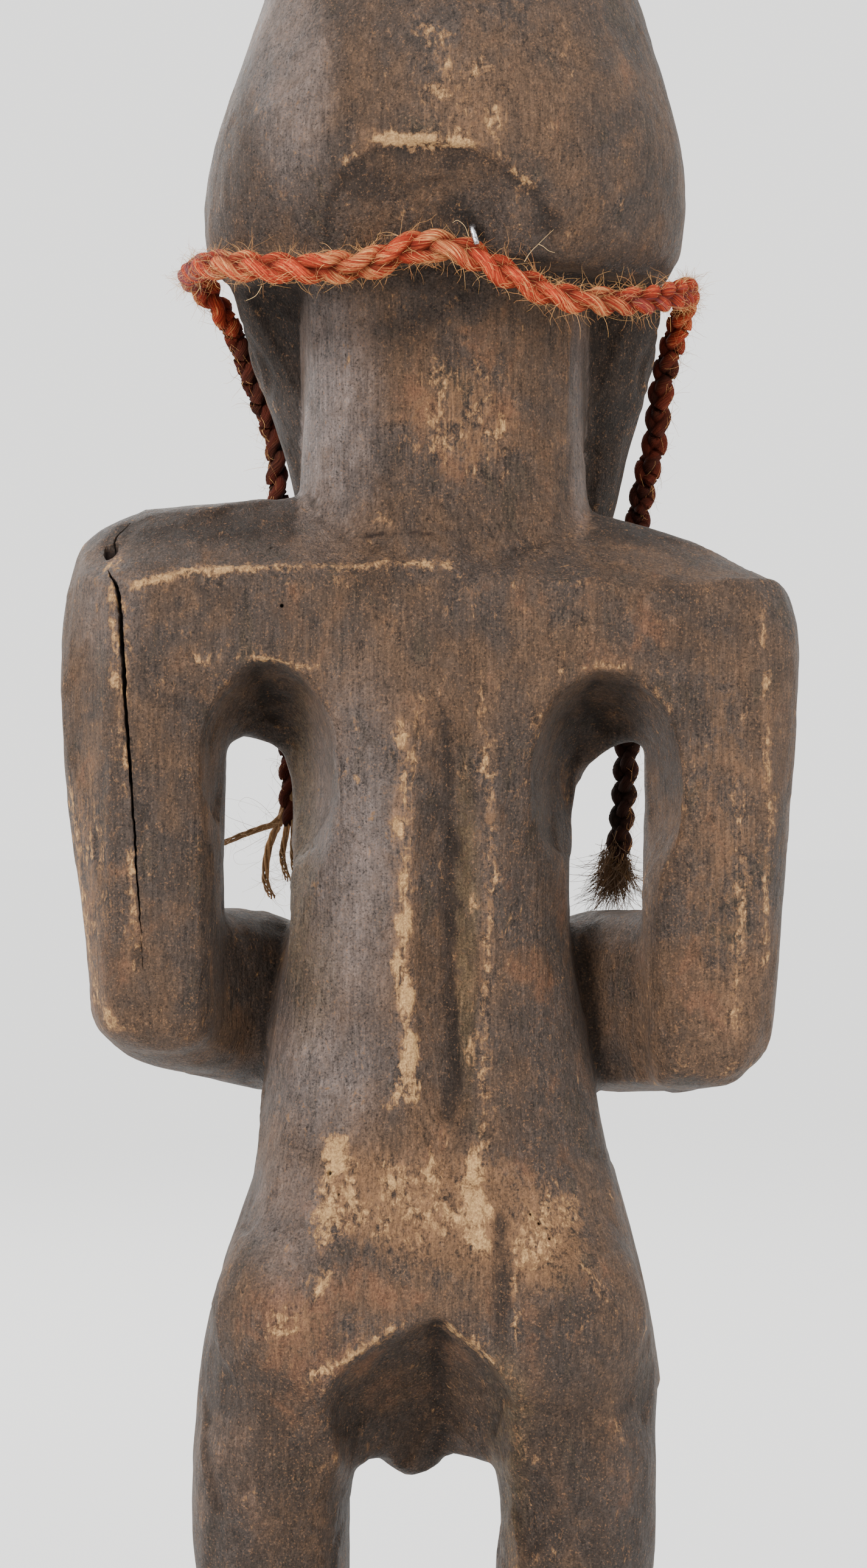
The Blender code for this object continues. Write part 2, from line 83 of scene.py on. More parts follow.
# %% The rope's places
ROPE_DIAMETER = 0.0083
ROPE_STEP = 0.0007
ROPE_ROUTE = [
    (0.0395, -0.0405, 0.3420), (0.0400, -0.0430, 0.3700), (0.0415, -0.0455, 0.4000),
    (0.0430, -0.0478, 0.4260), (0.0437, -0.0482, 0.4400), (0.0442, -0.0480, 0.4510),
    (0.0472, -0.0452, 0.4600), (0.0506, -0.0412, 0.4685), (0.0536, -0.0378, 0.4770),
    (0.0574, -0.0330, 0.4850), (0.0625, -0.0235, 0.4915), (0.0647, -0.0100, 0.4928),
    (0.0632, 0.0070, 0.4926), (0.0564, 0.0245, 0.4914), (0.0430, 0.0370, 0.4888),
    (0.0300, 0.0414, 0.4882), (0.0165, 0.0390, 0.4892), (0.0040, 0.0381, 0.4940),
    (-0.0080, 0.0383, 0.4932), (-0.0200, 0.0376, 0.4872), (-0.0330, 0.0358, 0.4818),
    (-0.0450, 0.0320, 0.4808), (-0.0575, 0.0240, 0.4822), (-0.0670, 0.0110, 0.4856),
    (-0.0706, -0.0050, 0.4886), (-0.0712, -0.0200, 0.4884), (-0.0692, -0.0310, 0.4805),
    (-0.0664, -0.0378, 0.4700), (-0.0650, -0.0412, 0.4600), (-0.0638, -0.0440, 0.4500),
    (-0.0614, -0.0465, 0.4400), (-0.0593, -0.0478, 0.4280), (-0.0578, -0.0470, 0.4050),
    (-0.0566, -0.0450, 0.3780), (-0.0556, -0.0425, 0.3560), (-0.0528, -0.0405, 0.3280),
]
print("rope:", len(ROPE_ROUTE), "places on its middle line")


# %% A smooth line in even steps
def smooth_line(knots, parts):
    """Points on the smooth curve through all knots, and each point's place among them."""
    knots = np.array(knots, float)
    inner = np.clip(np.arange(-1, len(knots) + 1), 0, len(knots) - 1)
    points, places = [], []
    for at in range(len(knots) - 1):
        a, b, c, d = knots[inner[at:at + 4]]
        for t in np.arange(parts) / parts:
            points.append(0.5 * (
                2 * b + (c - a) * t + (2 * a - 5 * b + 4 * c - d) * t ** 2
                + (3 * b - a - 3 * c + d) * t ** 3
            ))
            places.append(at + t)
    return np.array(points + [knots[-1]]), np.array(places + [len(knots) - 1])


def even_line(points, places, step):
    """The same line in even steps, with the length run and the place among the knots."""
    run = np.concatenate([[0], np.cumsum(np.linalg.norm(np.diff(points, axis=0), axis=1))])
    even = np.linspace(0, run[-1], round(run[-1] / step) + 1)
    line = np.column_stack([np.interp(even, run, points[:, axis]) for axis in range(3)])
    return line, even, np.interp(even, run, places)


rope_line, rope_run, rope_knot = even_line(*smooth_line(ROPE_ROUTE, 24), ROPE_STEP)
print("rope:", round(rope_run[-1], 4), "m long in", len(rope_line), "steps")

# %% [markdown]
# ## Noise for shaping
# Nothing made by hand is even. The same hashed lattice of random values, blended smoothly
# between its corners, bends the rope, dents the wood and breaks up its stains. The random
# values come from a fixed rule, so the piece is the same each time it is made.


# %% Smooth noise
def lattice(cells, seed):
    """One random number from 0 to 1 for each whole-numbered cell."""
    mixed = cells[..., 0] * 374761393 + cells[..., 1] * 668265263
    mixed = (mixed + cells[..., 2] * 2147483647 + seed * 1274126177) & 0x7FFFFFFF
    mixed = ((mixed ^ (mixed >> 13)) * 1274126177) & 0x7FFFFFFF
    mixed = ((mixed ^ (mixed >> 15)) * 2046822519) & 0x7FFFFFFF
    return ((mixed ^ (mixed >> 16)) & 0xFFFF) / 65535.0


def noise(points, size, seed=0):
    """Smooth noise from -1 to 1 at each point. size is how far apart its bumps are."""
    scaled = np.asarray(points) / size
    low = np.floor(scaled).astype(np.int64)
    t = scaled - low
    t = t * t * (3 - 2 * t)
    total = 0
    for corner in np.ndindex(2, 2, 2):
        weight = np.prod(np.where(np.array(corner), t, 1 - t), axis=-1)
        total = total + weight * lattice(low + np.array(corner), seed)
    return 2 * total - 1


def layered(points, size, seed=0, layers=3):
    """Noise with finer noise on it."""
    return sum(noise(points, size / 2 ** k, seed + k) / 2 ** k for k in range(layers)) / 1.6


def ramp(value, low, high):
    """0 below low, 1 above high and smooth between them."""
    t = np.clip((np.asarray(value, float) - low) / (high - low), 0, 1)
    return t * t * (3 - 2 * t)


print("noise from", noise(rope_line, 0.01).min().round(2), "to", noise(rope_line, 0.01).max().round(2))

# %% [markdown]
# ## Plaiting the yarns
# In a plait of three, each yarn swings from side to side once while it goes over and under
# twice, a third of a turn behind the yarn before it. So one yarn is a sine across the rope
# and a sine of twice the speed through it. The plait rolls over as it goes round the head:
# one edge faces out on the left, the other edge near the middle.

# %% Directions across the rope
AXIS = np.array([-0.007, -0.012, 0])


def unit(vectors):
    """The same directions, each one long."""
    return vectors / np.linalg.norm(vectors, axis=-1, keepdims=True)


along = unit(np.gradient(rope_line, axis=0))
outward = (rope_line - AXIS) * (1, 1, 0)
outward = unit(outward - along * (outward * along).sum(1, keepdims=True))
across = np.cross(along, outward)
roll = np.radians(np.interp(
    rope_knot,
    [0, 9, 10.5, 14.6, 15.2, 16.8, 17.5, 18.2, 20.8, 21.6, 35],
    [-20, -30, 50, 54, -46, -50, 25, 48, 50, 5, 15],
))[:, None]
wide_way = across * np.cos(roll) + outward * np.sin(roll)
deep_way = outward * np.cos(roll) - across * np.sin(roll)
print("the plait rolls through", round(np.degrees(np.ptp(roll))), "degrees")

# %% How tight and how thick the plait is
YARN_SIDES = 18
YARN_RADIUS = 0.00196
SWING_ACROSS, SWING_THROUGH = 0.00222, 0.00132
TWIST_LENGTH = 0.021
pitch = np.interp(
    rope_knot,
    [0, 9, 11, 14, 15.5, 17, 18.5, 21, 22, 25, 35],
    [0.021, 0.022, 0.036, 0.034, 0.030, 0.031, 0.030, 0.028, 0.022, 0.023, 0.021],
)
swings = np.concatenate([[0], np.cumsum(np.diff(rope_run) / pitch[1:])])
thickness = np.interp(
    rope_knot, [0, 4, 10, 14, 18, 21, 24, 35], [0.92, 0.9, 1.0, 1.04, 1.06, 0.95, 0.93, 0.9]
)
print("plait:", round(swings[-1], 1), "swings from side to side")


# %% One yarn's middle line
def yarn_line(strand):
    """The middle line of one yarn of the plait."""
    swing = swings + 0.08 + strand / 3 + 0.04 * noise(rope_line, 0.02, 5)
    angle = (math.tau * swing)[:, None]
    size = thickness[:, None] * (1 + 0.06 * noise(rope_line + strand, 0.015, 9)[:, None])
    return rope_line + size * (
        wide_way * SWING_ACROSS * np.sin(angle) + deep_way * SWING_THROUGH * np.sin(2 * angle)
    )


yarns = [yarn_line(strand) for strand in range(3)]
print("yarns:", len(yarns), "lines of", len(yarns[0]), "places")


# %% Tubes, meshes and values on them
def tube(line, radii, sides):
    """Corners and faces of a round tube along a line."""
    ahead = unit(np.gradient(line, axis=0))
    side = unit(np.cross(ahead, np.where(abs(ahead[:, 2:]) > 0.8, (0, 1, 0), (0, 0, 1))))
    top = np.cross(side, ahead)
    turn = np.linspace(0, math.tau, sides, endpoint=False)
    ways = side[:, None] * np.cos(turn)[None, :, None] + top[:, None] * np.sin(turn)[None, :, None]
    corners = line[:, None] + ways * np.asarray(radii)[..., None]
    at = np.arange(len(line) - 1)[:, None] * sides
    here = np.arange(sides)[None]
    after = (here + 1) % sides
    faces = np.stack([at + here, at + after, at + sides + after, at + sides + here], -1)
    return corners.reshape(-1, 3), faces.reshape(-1, 4)


def mesh_piece(name, corners, faces):
    """A mesh object from plain corners and faces, smooth shaded."""
    data = bpy.data.meshes.new(name)
    data.from_pydata(corners.tolist(), [], [list(map(int, face)) for face in faces])
    data.validate()
    data.shade_smooth()
    piece = bpy.data.objects.new(name, data)
    bpy.context.scene.collection.objects.link(piece)
    return piece


def add_values(piece, name, values):
    """One number, or one vector, for each corner of a piece, which its material can read."""
    values = np.asarray(values, np.float32)
    kind, key = ("FLOAT", "value") if values.ndim == 1 else ("FLOAT_VECTOR", "vector")
    layer = piece.data.attributes.new(name, kind, "POINT")
    layer.data.foreach_set(key, values.ravel())


# %% Make the plait one mesh
corners, faces, fibre, crest = [], [], [], []
for strand, line in enumerate(yarns):
    turn = np.linspace(0, math.tau, YARN_SIDES, endpoint=False)[None]
    twist = turn + (rope_run * math.tau / TWIST_LENGTH + strand)[:, None]
    ridges = 0.035 * np.cos(5 * twist) + 0.02 * np.cos(11 * twist + 1)
    lumps = 0.05 * noise(line + 3 * strand, 0.006, 21)[:, None]
    radii = YARN_RADIUS * thickness[:, None] * (1 + ridges + lumps)
    taper = ramp(rope_run, -0.002, 0.004) * ramp(rope_run[-1] - rope_run, -0.002, 0.004)
    points, quads = tube(line, radii * taper[:, None], YARN_SIDES)
    faces.append(quads + sum(len(c) for c in corners))
    corners.append(points)
    round_place = np.stack([np.cos(twist), np.sin(twist)], -1) * 0.002
    run = np.broadcast_to(rope_run[:, None, None] + strand, round_place.shape[:2] + (1,))
    fibre.append(np.concatenate([run, round_place], -1).reshape(-1, 3))
    middle = np.repeat(rope_line, YARN_SIDES, axis=0)
    crest.append(np.linalg.norm(points - middle, axis=1) / (ROPE_DIAMETER / 2))

plait = mesh_piece("rope_plait", np.concatenate(corners), np.concatenate(faces))
add_values(plait, "fibre", np.concatenate(fibre))
add_values(plait, "crest", np.concatenate(crest))
print("plait:", len(plait.data.polygons), "faces")

# %% Where the plait is faded, dark or stained
plait_knot = np.tile(np.repeat(rope_knot, YARN_SIDES), 3)
hanging = ramp(plait_knot, 9.5, 8) + ramp(plait_knot, 25.5, 27)
right_side = ramp(plait_knot, 24.5, 27)
add_values(plait, "hanging", hanging)
add_values(plait, "faded", np.interp(
    plait_knot,
    [0, 9, 11, 12.3, 13.4, 14, 14.8, 15.3, 16, 16.5, 17, 17.5, 18.1, 18.5, 19.3, 19.8, 20.4,
     20.9, 21.3, 21.7, 35],
    [0.1, 0.15, 0.1, 0.30, 0.65, 0.3, 0.1, 0.6, 0.85, 0.35, 0.3, 0.85, 0.7, 0.15, 0.3, 0.15, 0.5,
     0.8, 0.6, 0.1, 0.05],
))
add_values(plait, "dark", np.clip(
    (0.52 + 0.24 * ramp(plait_knot, 29, 33)) * right_side + 0.60 * hanging * (1 - right_side), 0, 1
))
stained = np.interp(
    plait_knot, [0, 10, 11, 12.6, 13.4, 19.5, 21.5, 22.5, 25, 27, 35],
    [0.3, 0.2, 1.0, 0.9, 0.35, 0.05, 0.5, 0.65, 0.35, 0.2, 0.3],
)
add_values(plait, "stain", stained)
print("plait stained on", int((stained > 0.5).sum()), "corners")

# %% [markdown]
# ## Fuzz and frayed ends
# Old fibre rope is covered in short loose hairs, and its cut ends open into yarns and then
# into single fibres. Each hair is a thin tube of three sides, bent at random. A hair has
# only a few faces because there are a few thousand of them.


# %% Bend a hair
def hair(start, way, length, curl, random, steps=5):
    """The line of one loose fibre that leaves start in a direction and curls."""
    line = [start]
    way = way / np.linalg.norm(way)
    bend = random.normal(0, curl, 3)
    for _ in range(steps):
        way = way + bend / steps + random.normal(0, curl / 4, 3)
        way = way / np.linalg.norm(way)
        line.append(line[-1] + way * length / steps)
    return np.array(line)


def hairs_piece(name, lines, thick, sides=3):
    """One mesh of many tapering hairs."""
    corners, faces, tints, count = [], [], [], 0
    for number, (line, radius) in enumerate(zip(lines, thick)):
        radii = radius * np.linspace(1, 0.35, len(line))[:, None] * np.ones((1, sides))
        points, quads = tube(line, radii, sides)
        corners.append(points)
        faces.append(quads + count)
        tints.append(np.full(len(points), lattice(np.array([number, 7, 3]), 4)))
        count += len(points)
    piece = mesh_piece(name, np.concatenate(corners), np.concatenate(faces))
    add_values(piece, "tint", np.concatenate(tints))
    return piece


# %% Fuzz all along the rope
random = np.random.default_rng(11)
FUZZ_COUNT, FUZZ_ROOT = 3000, 0.0017
fuzz_lines, fuzz_thick = [], []
fuzzy = np.interp(rope_knot, [0, 9, 10, 20, 25, 27, 35], [0.5, 0.6, 1.3, 1.2, 1.1, 0.6, 0.7])
chosen = random.choice(len(rope_line), FUZZ_COUNT, p=fuzzy / fuzzy.sum())
for at in chosen:
    yarn = yarns[random.integers(3)][at]
    away = yarn - rope_line[at] + random.normal(0, 0.0012, 3)
    away = away - along[at] * (away @ along[at])
    away = away / np.linalg.norm(away)
    if away @ outward[at] < -0.25:
        away = away - 2 * outward[at] * (away @ outward[at])
    start = yarn + away * FUZZ_ROOT
    way = away * random.uniform(0.25, 0.9) + along[at] * random.choice([-1, 1])
    length = random.gamma(3.2, 0.0011) + 0.0012
    fuzz_lines.append(hair(start, way, min(length, 0.0095), 0.8, random))
    fuzz_thick.append(random.uniform(0.00003, 0.00007))
fuzz = hairs_piece("rope_fuzz", fuzz_lines, fuzz_thick)
print("fuzz:", len(fuzz_lines), "hairs,", len(fuzz.data.polygons), "faces")

# %% [markdown]
# The left end has come apart into loose yarns. One sticks out sideways, three hang down,
# and fine fibres loop between them. The right end is a soft dark brush.

# %% Loose yarns of the left end
LOOSE_YARNS = [
    ([(474, 1299, -0.0405), (470, 1330, -0.042), (452, 1352, -0.043), (425, 1362, -0.043),
      (398, 1372, -0.042), (365, 1386, -0.041)], 0.00125),
    ([(470, 1305, -0.0405), (462, 1345, -0.044), (449, 1372, -0.046), (440, 1400, -0.047),
      (436, 1440, -0.047), (441, 1462, -0.046), (448, 1474, -0.045)], 0.00115),
    ([(476, 1300, -0.0400), (474, 1345, -0.041), (468, 1380, -0.043), (464, 1405, -0.044),
      (468, 1428, -0.044), (474, 1446, -0.043)], 0.0010),
    ([(480, 1300, -0.0390), (484, 1350, -0.039), (482, 1400, -0.040), (486, 1440, -0.041)], 0.0011),
]
yarn_lines, yarn_thick = [], []
for path, radius in LOOSE_YARNS:
    smooth, places = smooth_line([at_pixel(*place) for place in path], 8)
    for ply in range(5):
        angle = np.linspace(0, 9, len(smooth)) + ply * math.tau / 5
        open_up = radius * np.interp(np.arange(len(smooth)), [0, len(smooth)], [0.5, 0.75])
        around = np.stack([np.cos(angle), np.sin(angle) * 0.7, np.sin(angle) * 0.6], -1)
        yarn_lines.append(smooth + around * open_up[:, None])
        yarn_thick.append(radius * 0.55)
frayed_yarns = hairs_piece("rope_loose_yarns", yarn_lines, yarn_thick, sides=7)
print("left end:", len(yarn_lines), "plies")

# %% Fine fibres of the left end
LOOPS = [
    [(440, 1366, -0.043), (400, 1352, -0.044), (372, 1340, -0.044), (360, 1322, -0.043),
     (372, 1312, -0.043), (402, 1318, -0.043), (436, 1330, -0.043)],
    [(455, 1350, -0.044), (430, 1322, -0.045), (405, 1310, -0.046), (392, 1322, -0.046),
     (404, 1336, -0.045)],
    [(440, 1372, -0.045), (405, 1392, -0.046), (384, 1404, -0.046), (392, 1420, -0.045),
     (424, 1416, -0.045)],
    [(372, 1384, -0.041), (352, 1392, -0.041), (340, 1384, -0.042)],
    [(448, 1470, -0.045), (456, 1484, -0.045), (470, 1488, -0.044), (484, 1480, -0.044)],
    [(470, 1300, -0.042), (452, 1280, -0.043), (444, 1262, -0.044), (452, 1250, -0.045)],
]
loop_lines = [smooth_line([at_pixel(*place) for place in path], 5)[0] for path in LOOPS]
loop_thick = [0.00006] * len(loop_lines)
for line in yarn_lines:
    for _ in range(9):
        at = random.integers(len(line) // 3, len(line) - 1)
        way = line[at + 1] - line[at] + random.normal(0, 0.0006, 3)
        loop_lines.append(hair(line[at], way, random.uniform(0.004, 0.011), 1.3, random))
        loop_thick.append(random.uniform(0.00003, 0.00006))
frayed_fibres = hairs_piece("rope_loose_fibres", loop_lines, loop_thick)
print("left end:", len(loop_lines), "fibres")

# %% The brush on the right end
right_end = np.array(ROPE_ROUTE[-1])
BRUSH_COUNT = 760
brush_lines, brush_thick = [], []
for _ in range(BRUSH_COUNT):
    start = right_end + random.normal(0, 1, 3) * (0.0019, 0.0016, 0.0022) + (0, 0, 0.005)
    way = random.normal(0, 0.20, 3) + (0.10, 0, -1)
    brush_lines.append(hair(start, way, random.uniform(0.006, 0.018), 0.7, random, 6))
    brush_thick.append(random.uniform(0.00007, 0.00017))
brush = hairs_piece("rope_brush_end", brush_lines, brush_thick)
print("right end:", len(brush_lines), "fibres")

# %% Long stray fibres on the nape
STRAYS = [
    [(862, 430, 0.0405), (872, 414, 0.0425), (885, 401, 0.0430), (897, 389, 0.0440),
     (910, 377, 0.0445)],
    [(885, 401, 0.0430), (893, 405, 0.0440), (902, 412, 0.0445), (912, 415, 0.0450)],
    [(770, 388, 0.0420), (764, 372, 0.0440), (752, 362, 0.0450), (744, 366, 0.0450)],
    [(430, 470, 0.0420), (420, 486, 0.0440), (404, 494, 0.0440)],
    [(330, 470, 0.0200), (318, 486, 0.0220), (306, 480, 0.0220)],
]
stray_lines = [smooth_line([at_pixel(*place) for place in path], 6)[0] for path in STRAYS]
strays = hairs_piece("rope_strays", stray_lines, [0.00010] * len(stray_lines))
print("strays:", len(stray_lines))

# %% [markdown]
# The rope leaves nothing: both its ends hang free. It is limp, and its length is the one
# that the picture shows from end to end.

rope_pieces = [fuzz, frayed_yarns, frayed_fibres, brush, strays]
for piece in [plait] + rope_pieces:
    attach(piece, "root")
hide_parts("rope")
print("rope declared:", round(float(rope_run[-1]), 3), "m")

# %% [markdown]
# ## A helper for materials
# A material is a chain of nodes. One small helper adds a node, sets its options, and fills
# or links its inputs, so that each finish below reads as a list of what it is made of.


# %% Start a material
def new_material(name):
    """A new material, its nodes, and its shader with no links."""
    made = bpy.data.materials.new(name)
    made.use_nodes = True
    return made, made.node_tree, made.node_tree.nodes["Principled BSDF"]


def node(tree, kind, inputs=(), out=0, **options):
    """Adds a node, fills or links its inputs, and gives back one of its outputs."""
    made = tree.nodes.new(kind)
    for option, value in options.items():
        setattr(made, option, value)
    for key, value in dict(inputs).items():
        if isinstance(value, bpy.types.NodeSocket):
            tree.links.new(value, made.inputs[key])
        else:
            made.inputs[key].default_value = value
    return made.outputs[out]


# %% Sums of values
def maths(tree, operation, first, second=0.0, third=0.0):
    """One sum of arithmetic."""
    return node(tree, "ShaderNodeMath", {0: first, 1: second, 2: third}, operation=operation)


def weighed(tree, *parts):
    """The sum of several values, each times its weight."""
    total = 0.0
    for value, weight in parts:
        total = maths(tree, "MULTIPLY_ADD", value, weight, total)
    return total


def spread(tree, value, low, high):
    """A value stretched so that low gives 0 and high gives 1, smooth at both ends."""
    inputs = {"Value": value, "From Min": low, "From Max": high}
    return node(tree, "ShaderNodeMapRange", inputs, interpolation_type="SMOOTHSTEP")


def showing(tree, value, low, high, most):
    """How much of a finish shows: none where the value is low, the most where it is high."""
    return maths(tree, "MULTIPLY", spread(tree, value, low, high), most)


# %% Colours and patterns
def mix(tree, amount, first, second, blend="MIX"):
    """One colour over another. Colours are plain numbers or outputs of other nodes."""
    colour = [c if isinstance(c, bpy.types.NodeSocket) else (*c, 1) for c in (first, second)]
    inputs = {0: amount, 6: colour[0], 7: colour[1]}
    return node(tree, "ShaderNodeMix", inputs, out=2, data_type="RGBA", blend_type=blend)


def speckle(tree, place, scale, detail=3.0, roughness=0.55, stretch=None, ragged=0.0):
    """Noise over a surface, which may be stretched along an axis."""
    if stretch:
        place = node(tree, "ShaderNodeMapping", {"Vector": place, "Scale": stretch})
    inputs = {"Vector": place, "Scale": scale, "Detail": detail, "Roughness": roughness}
    inputs["Distortion"] = ragged
    return node(tree, "ShaderNodeTexNoise", inputs, normalize=True)


def reading(tree, name, vector=False):
    """The values of an attribute of the piece."""
    return node(tree, "ShaderNodeAttribute", attribute_name=name, out=1 if vector else 2)


def give(piece, finish):
    """Makes a finish the only one on a piece."""
    piece.data.materials.clear()
    piece.data.materials.append(finish)


# %% [markdown]
# ## Dyed fibre
# The rope was dyed red. Where it is handled and sunned the crests have gone pale, and golden glints
# along the fibres are painted highlight. Between the yarns it stays a deep red, darkened there as
# painted shade. The hanging stretches and the right side are darker, and a dark stain sits on parts of
# it. The fibres run along each yarn, so the pattern is laid on the yarn's own line.

# %% Rope material
rope_finish, tree, shader = new_material("plaited_fibre")
fibre_place = reading(tree, "fibre", vector=True)
strands = speckle(tree, fibre_place, 1.0, 3.0, 0.6, stretch=(230, 2600, 2600))
coarse = speckle(tree, fibre_place, 1.0, 2.0, 0.5, stretch=(90, 900, 900))
patches = speckle(tree, fibre_place, 1.0, 2.0, 0.5, stretch=(60, 160, 160))
high = spread(tree, reading(tree, "crest"), 0.45, 1.02)
faded = reading(tree, "faded")
fine, clumps = spread(tree, strands, 0.34, 0.66), spread(tree, coarse, 0.34, 0.66)
colour = mix(tree, fine, (0.20, 0.020, 0.011), (0.56, 0.070, 0.026))
pale_share = weighed(tree, (high, 0.25), (faded, 0.85), (clumps, 0.40), (fine, 0.20))
pale_fibre = mix(tree, fine, (0.32, 0.092, 0.034), (0.60, 0.235, 0.092))
colour = mix(tree, spread(tree, pale_share, 0.80, 1.35), colour, pale_fibre)
# Painted highlight: golden glints along the fibres, a little more on faded parts and crests.
painted_fibre_glint = weighed(tree, (strands, 1.0), (faded, 0.06), (high, 0.04))
colour = mix(tree, showing(tree, painted_fibre_glint, 0.60, 0.72, 0.55), colour, (0.76, 0.42, 0.15))
# Painted shade: the low places between the yarns are darkened towards a near black red.
painted_shade_between_yarns = maths(tree, "SUBTRACT", 1.0, high)
colour = mix(tree, maths(tree, "MULTIPLY", painted_shade_between_yarns, 0.8), colour, (0.055, 0.009, 0.006))
# The hanging stretches are made a darker brick red.
brick = mix(tree, spread(tree, patches, 0.4, 0.6), (0.026, 0.012, 0.008), (0.185, 0.028, 0.013))
colour = mix(tree, maths(tree, "MULTIPLY", reading(tree, "hanging"), 0.85), colour, brick)
# The hanging stretches, the right side and some patches are made darker still.
rope_darkening = weighed(tree, (patches, 0.5), (reading(tree, "dark"), 0.8))
colour = mix(tree, spread(tree, rope_darkening, 0.45, 0.95), colour, (0.018, 0.010, 0.007))
blue = weighed(tree, (clumps, 0.4), (reading(tree, "stain"), 0.6))
colour = mix(tree, showing(tree, blue, 0.55, 0.95, 0.7), colour, (0.075, 0.050, 0.070))
tree.links.new(colour, shader.inputs["Base Color"])
shader.inputs["Roughness"].default_value = 0.88
shader.inputs["Specular IOR Level"].default_value = 0.08
height = weighed(tree, (strands, 1.0), (coarse, 0.8))
bumps = node(tree, "ShaderNodeBump", {"Height": height, "Strength": 1.0, "Distance": 0.0014})
tree.links.new(bumps, shader.inputs["Normal"])
give(plait, rope_finish)
print("rope material:", len(tree.nodes), "nodes")


# %% Loose fibre material
def fibre_finish(name, dark, light):
    """Loose fibres, each with its own tint between two colours."""
    finish, tree, shader = new_material(name)
    place = node(tree, "ShaderNodeTexCoord", out=3)
    blotchy = speckle(tree, place, 300.0)
    amount = weighed(tree, (blotchy, 0.4), (reading(tree, "tint"), 0.7))
    tree.links.new(mix(tree, amount, dark, light), shader.inputs["Base Color"])
    shader.inputs["Roughness"].default_value = 0.7
    shader.inputs["Specular IOR Level"].default_value = 0.3
    bumps = speckle(tree, place, 2500.0)
    bumps = node(tree, "ShaderNodeBump", {"Height": bumps, "Strength": 0.4, "Distance": 0.0003})
    tree.links.new(bumps, shader.inputs["Normal"])
    return finish


give(fuzz, fibre_finish("golden_fuzz", (0.34, 0.11, 0.034), (0.68, 0.38, 0.13)))
give(frayed_yarns, fibre_finish("frayed_tan_yarn", (0.09, 0.045, 0.02), (0.32, 0.17, 0.07)))
give(frayed_fibres, fibre_finish("frayed_tan_fibre", (0.3, 0.18, 0.08), (0.6, 0.42, 0.2)))
give(brush, fibre_finish("dark_brush_fibre", (0.030, 0.018, 0.010), (0.20, 0.105, 0.045)))
give(strays, fibre_finish("stray_fibre", (0.45, 0.27, 0.10), (0.7, 0.48, 0.22)))
print("fibre materials:", sum("fibre" in m.name or "fuzz" in m.name for m in bpy.data.materials))

# %% [markdown]
# ## The nail
# A bent wire holds the rope to the nape. It goes into the wood, comes out over the rope and
# was beaten down on it. A short cylinder of wire is enough to start from: its end face is
# pushed out ring by ring, each ring turned into the bend.

# %% Where the nail is
NAIL_PLACE = Vector((-0.01132, 0.03568, 0.49970))
NAIL_OUT = Vector((0.05, 0.94, -0.16)).normalized()
NAIL_DOWN = Vector((-0.30, 0.08, -1)).normalized()
NAIL_RADIUS, NAIL_BEND = 0.0008, 0.0014
corner = NAIL_PLACE + NAIL_OUT * 0.0068
nail_path = [NAIL_PLACE - NAIL_OUT * 0.0088, NAIL_PLACE, corner - NAIL_OUT * 0.0020]
for part in (0.2, 0.45, 0.7, 0.95):
    angle = part * math.pi / 2
    inner = corner - NAIL_OUT * NAIL_BEND + NAIL_DOWN * NAIL_BEND
    nail_path.append(
        inner + NAIL_OUT * NAIL_BEND * math.sin(angle) - NAIL_DOWN * NAIL_BEND * math.cos(angle)
    )
nail_path += [corner + NAIL_DOWN * 0.0026, corner + NAIL_DOWN * 0.0038, corner + NAIL_DOWN * 0.0048]
print("nail path:", len(nail_path), "rings")


# %% Push the wire out along its path
def swept_wire(name, path, radius, sides, last_size):
    """A wire that starts as a circle at the path's first point and is pushed along it."""
    first = (path[1] - path[0]).to_track_quat("Z", "Y").to_euler()
    bpy.ops.mesh.primitive_circle_add(
        vertices=sides, radius=radius, fill_type="NGON", location=path[0], rotation=first
    )
    piece = bpy.context.object
    piece.name = name
    bpy.ops.object.transform_apply(location=True, rotation=True, scale=True)
    bpy.ops.object.mode_set(mode="EDIT")
    bpy.ops.mesh.select_all(action="SELECT")
    way = path[1] - path[0]
    for here, there in zip(path, path[1:]):
        bpy.ops.mesh.extrude_region_move(TRANSFORM_OT_translate={"value": there - here})
    bpy.ops.mesh.select_all(action="SELECT")
    bpy.ops.mesh.normals_make_consistent(inside=False)
    bpy.ops.object.mode_set(mode="OBJECT")
    rings = np.empty(len(piece.data.vertices) * 3)
    piece.data.vertices.foreach_get("co", rings)
    rings = rings.reshape(-1, sides, 3)
    for at, ring in enumerate(rings):
        before = path[at] - path[max(at - 1, 0)] if at else way
        after = path[min(at + 1, len(path) - 1)] - path[at] if at + 1 < len(path) else before
        facing = (before.normalized() + after.normalized()).normalized()
        turn = way.normalized().rotation_difference(facing).to_matrix()
        middle = np.array(path[at])
        size = last_size if at == len(path) - 1 else 1.0
        ring[:] = (np.array(turn) @ (ring - ring.mean(0)).T).T * size + middle
    piece.data.vertices.foreach_set("co", rings.ravel())
    piece.data.update()
    return piece


nail = swept_wire("bent_nail", nail_path, NAIL_RADIUS, 14, 0.82)
print("wire:", len(nail.data.polygons), "faces")


# %% Round the wire's ends
def choose(piece):
    """Makes a piece the only selected one, and the active one."""
    bpy.ops.object.select_all(action="DESELECT")
    piece.select_set(True)
    bpy.context.view_layer.objects.active = piece


def apply_modifier(piece, kind, **settings):
    """Adds one modifier to a piece, sets it up, and applies it."""
    choose(piece)
    bpy.ops.object.modifier_add(type=kind)
    step = piece.modifiers[-1]
    for setting, value in settings.items():
        setattr(step, setting, value)
    bpy.ops.object.modifier_apply(modifier=step.name)


apply_modifier(
    nail, "BEVEL", width=0.00012, segments=2, limit_method="ANGLE", angle_limit=math.radians(60)
)
bpy.ops.object.shade_smooth_by_angle(angle=math.radians(40))
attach(nail, "root")
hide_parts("nail")
print("nail:", len(nail.data.polygons), "faces")

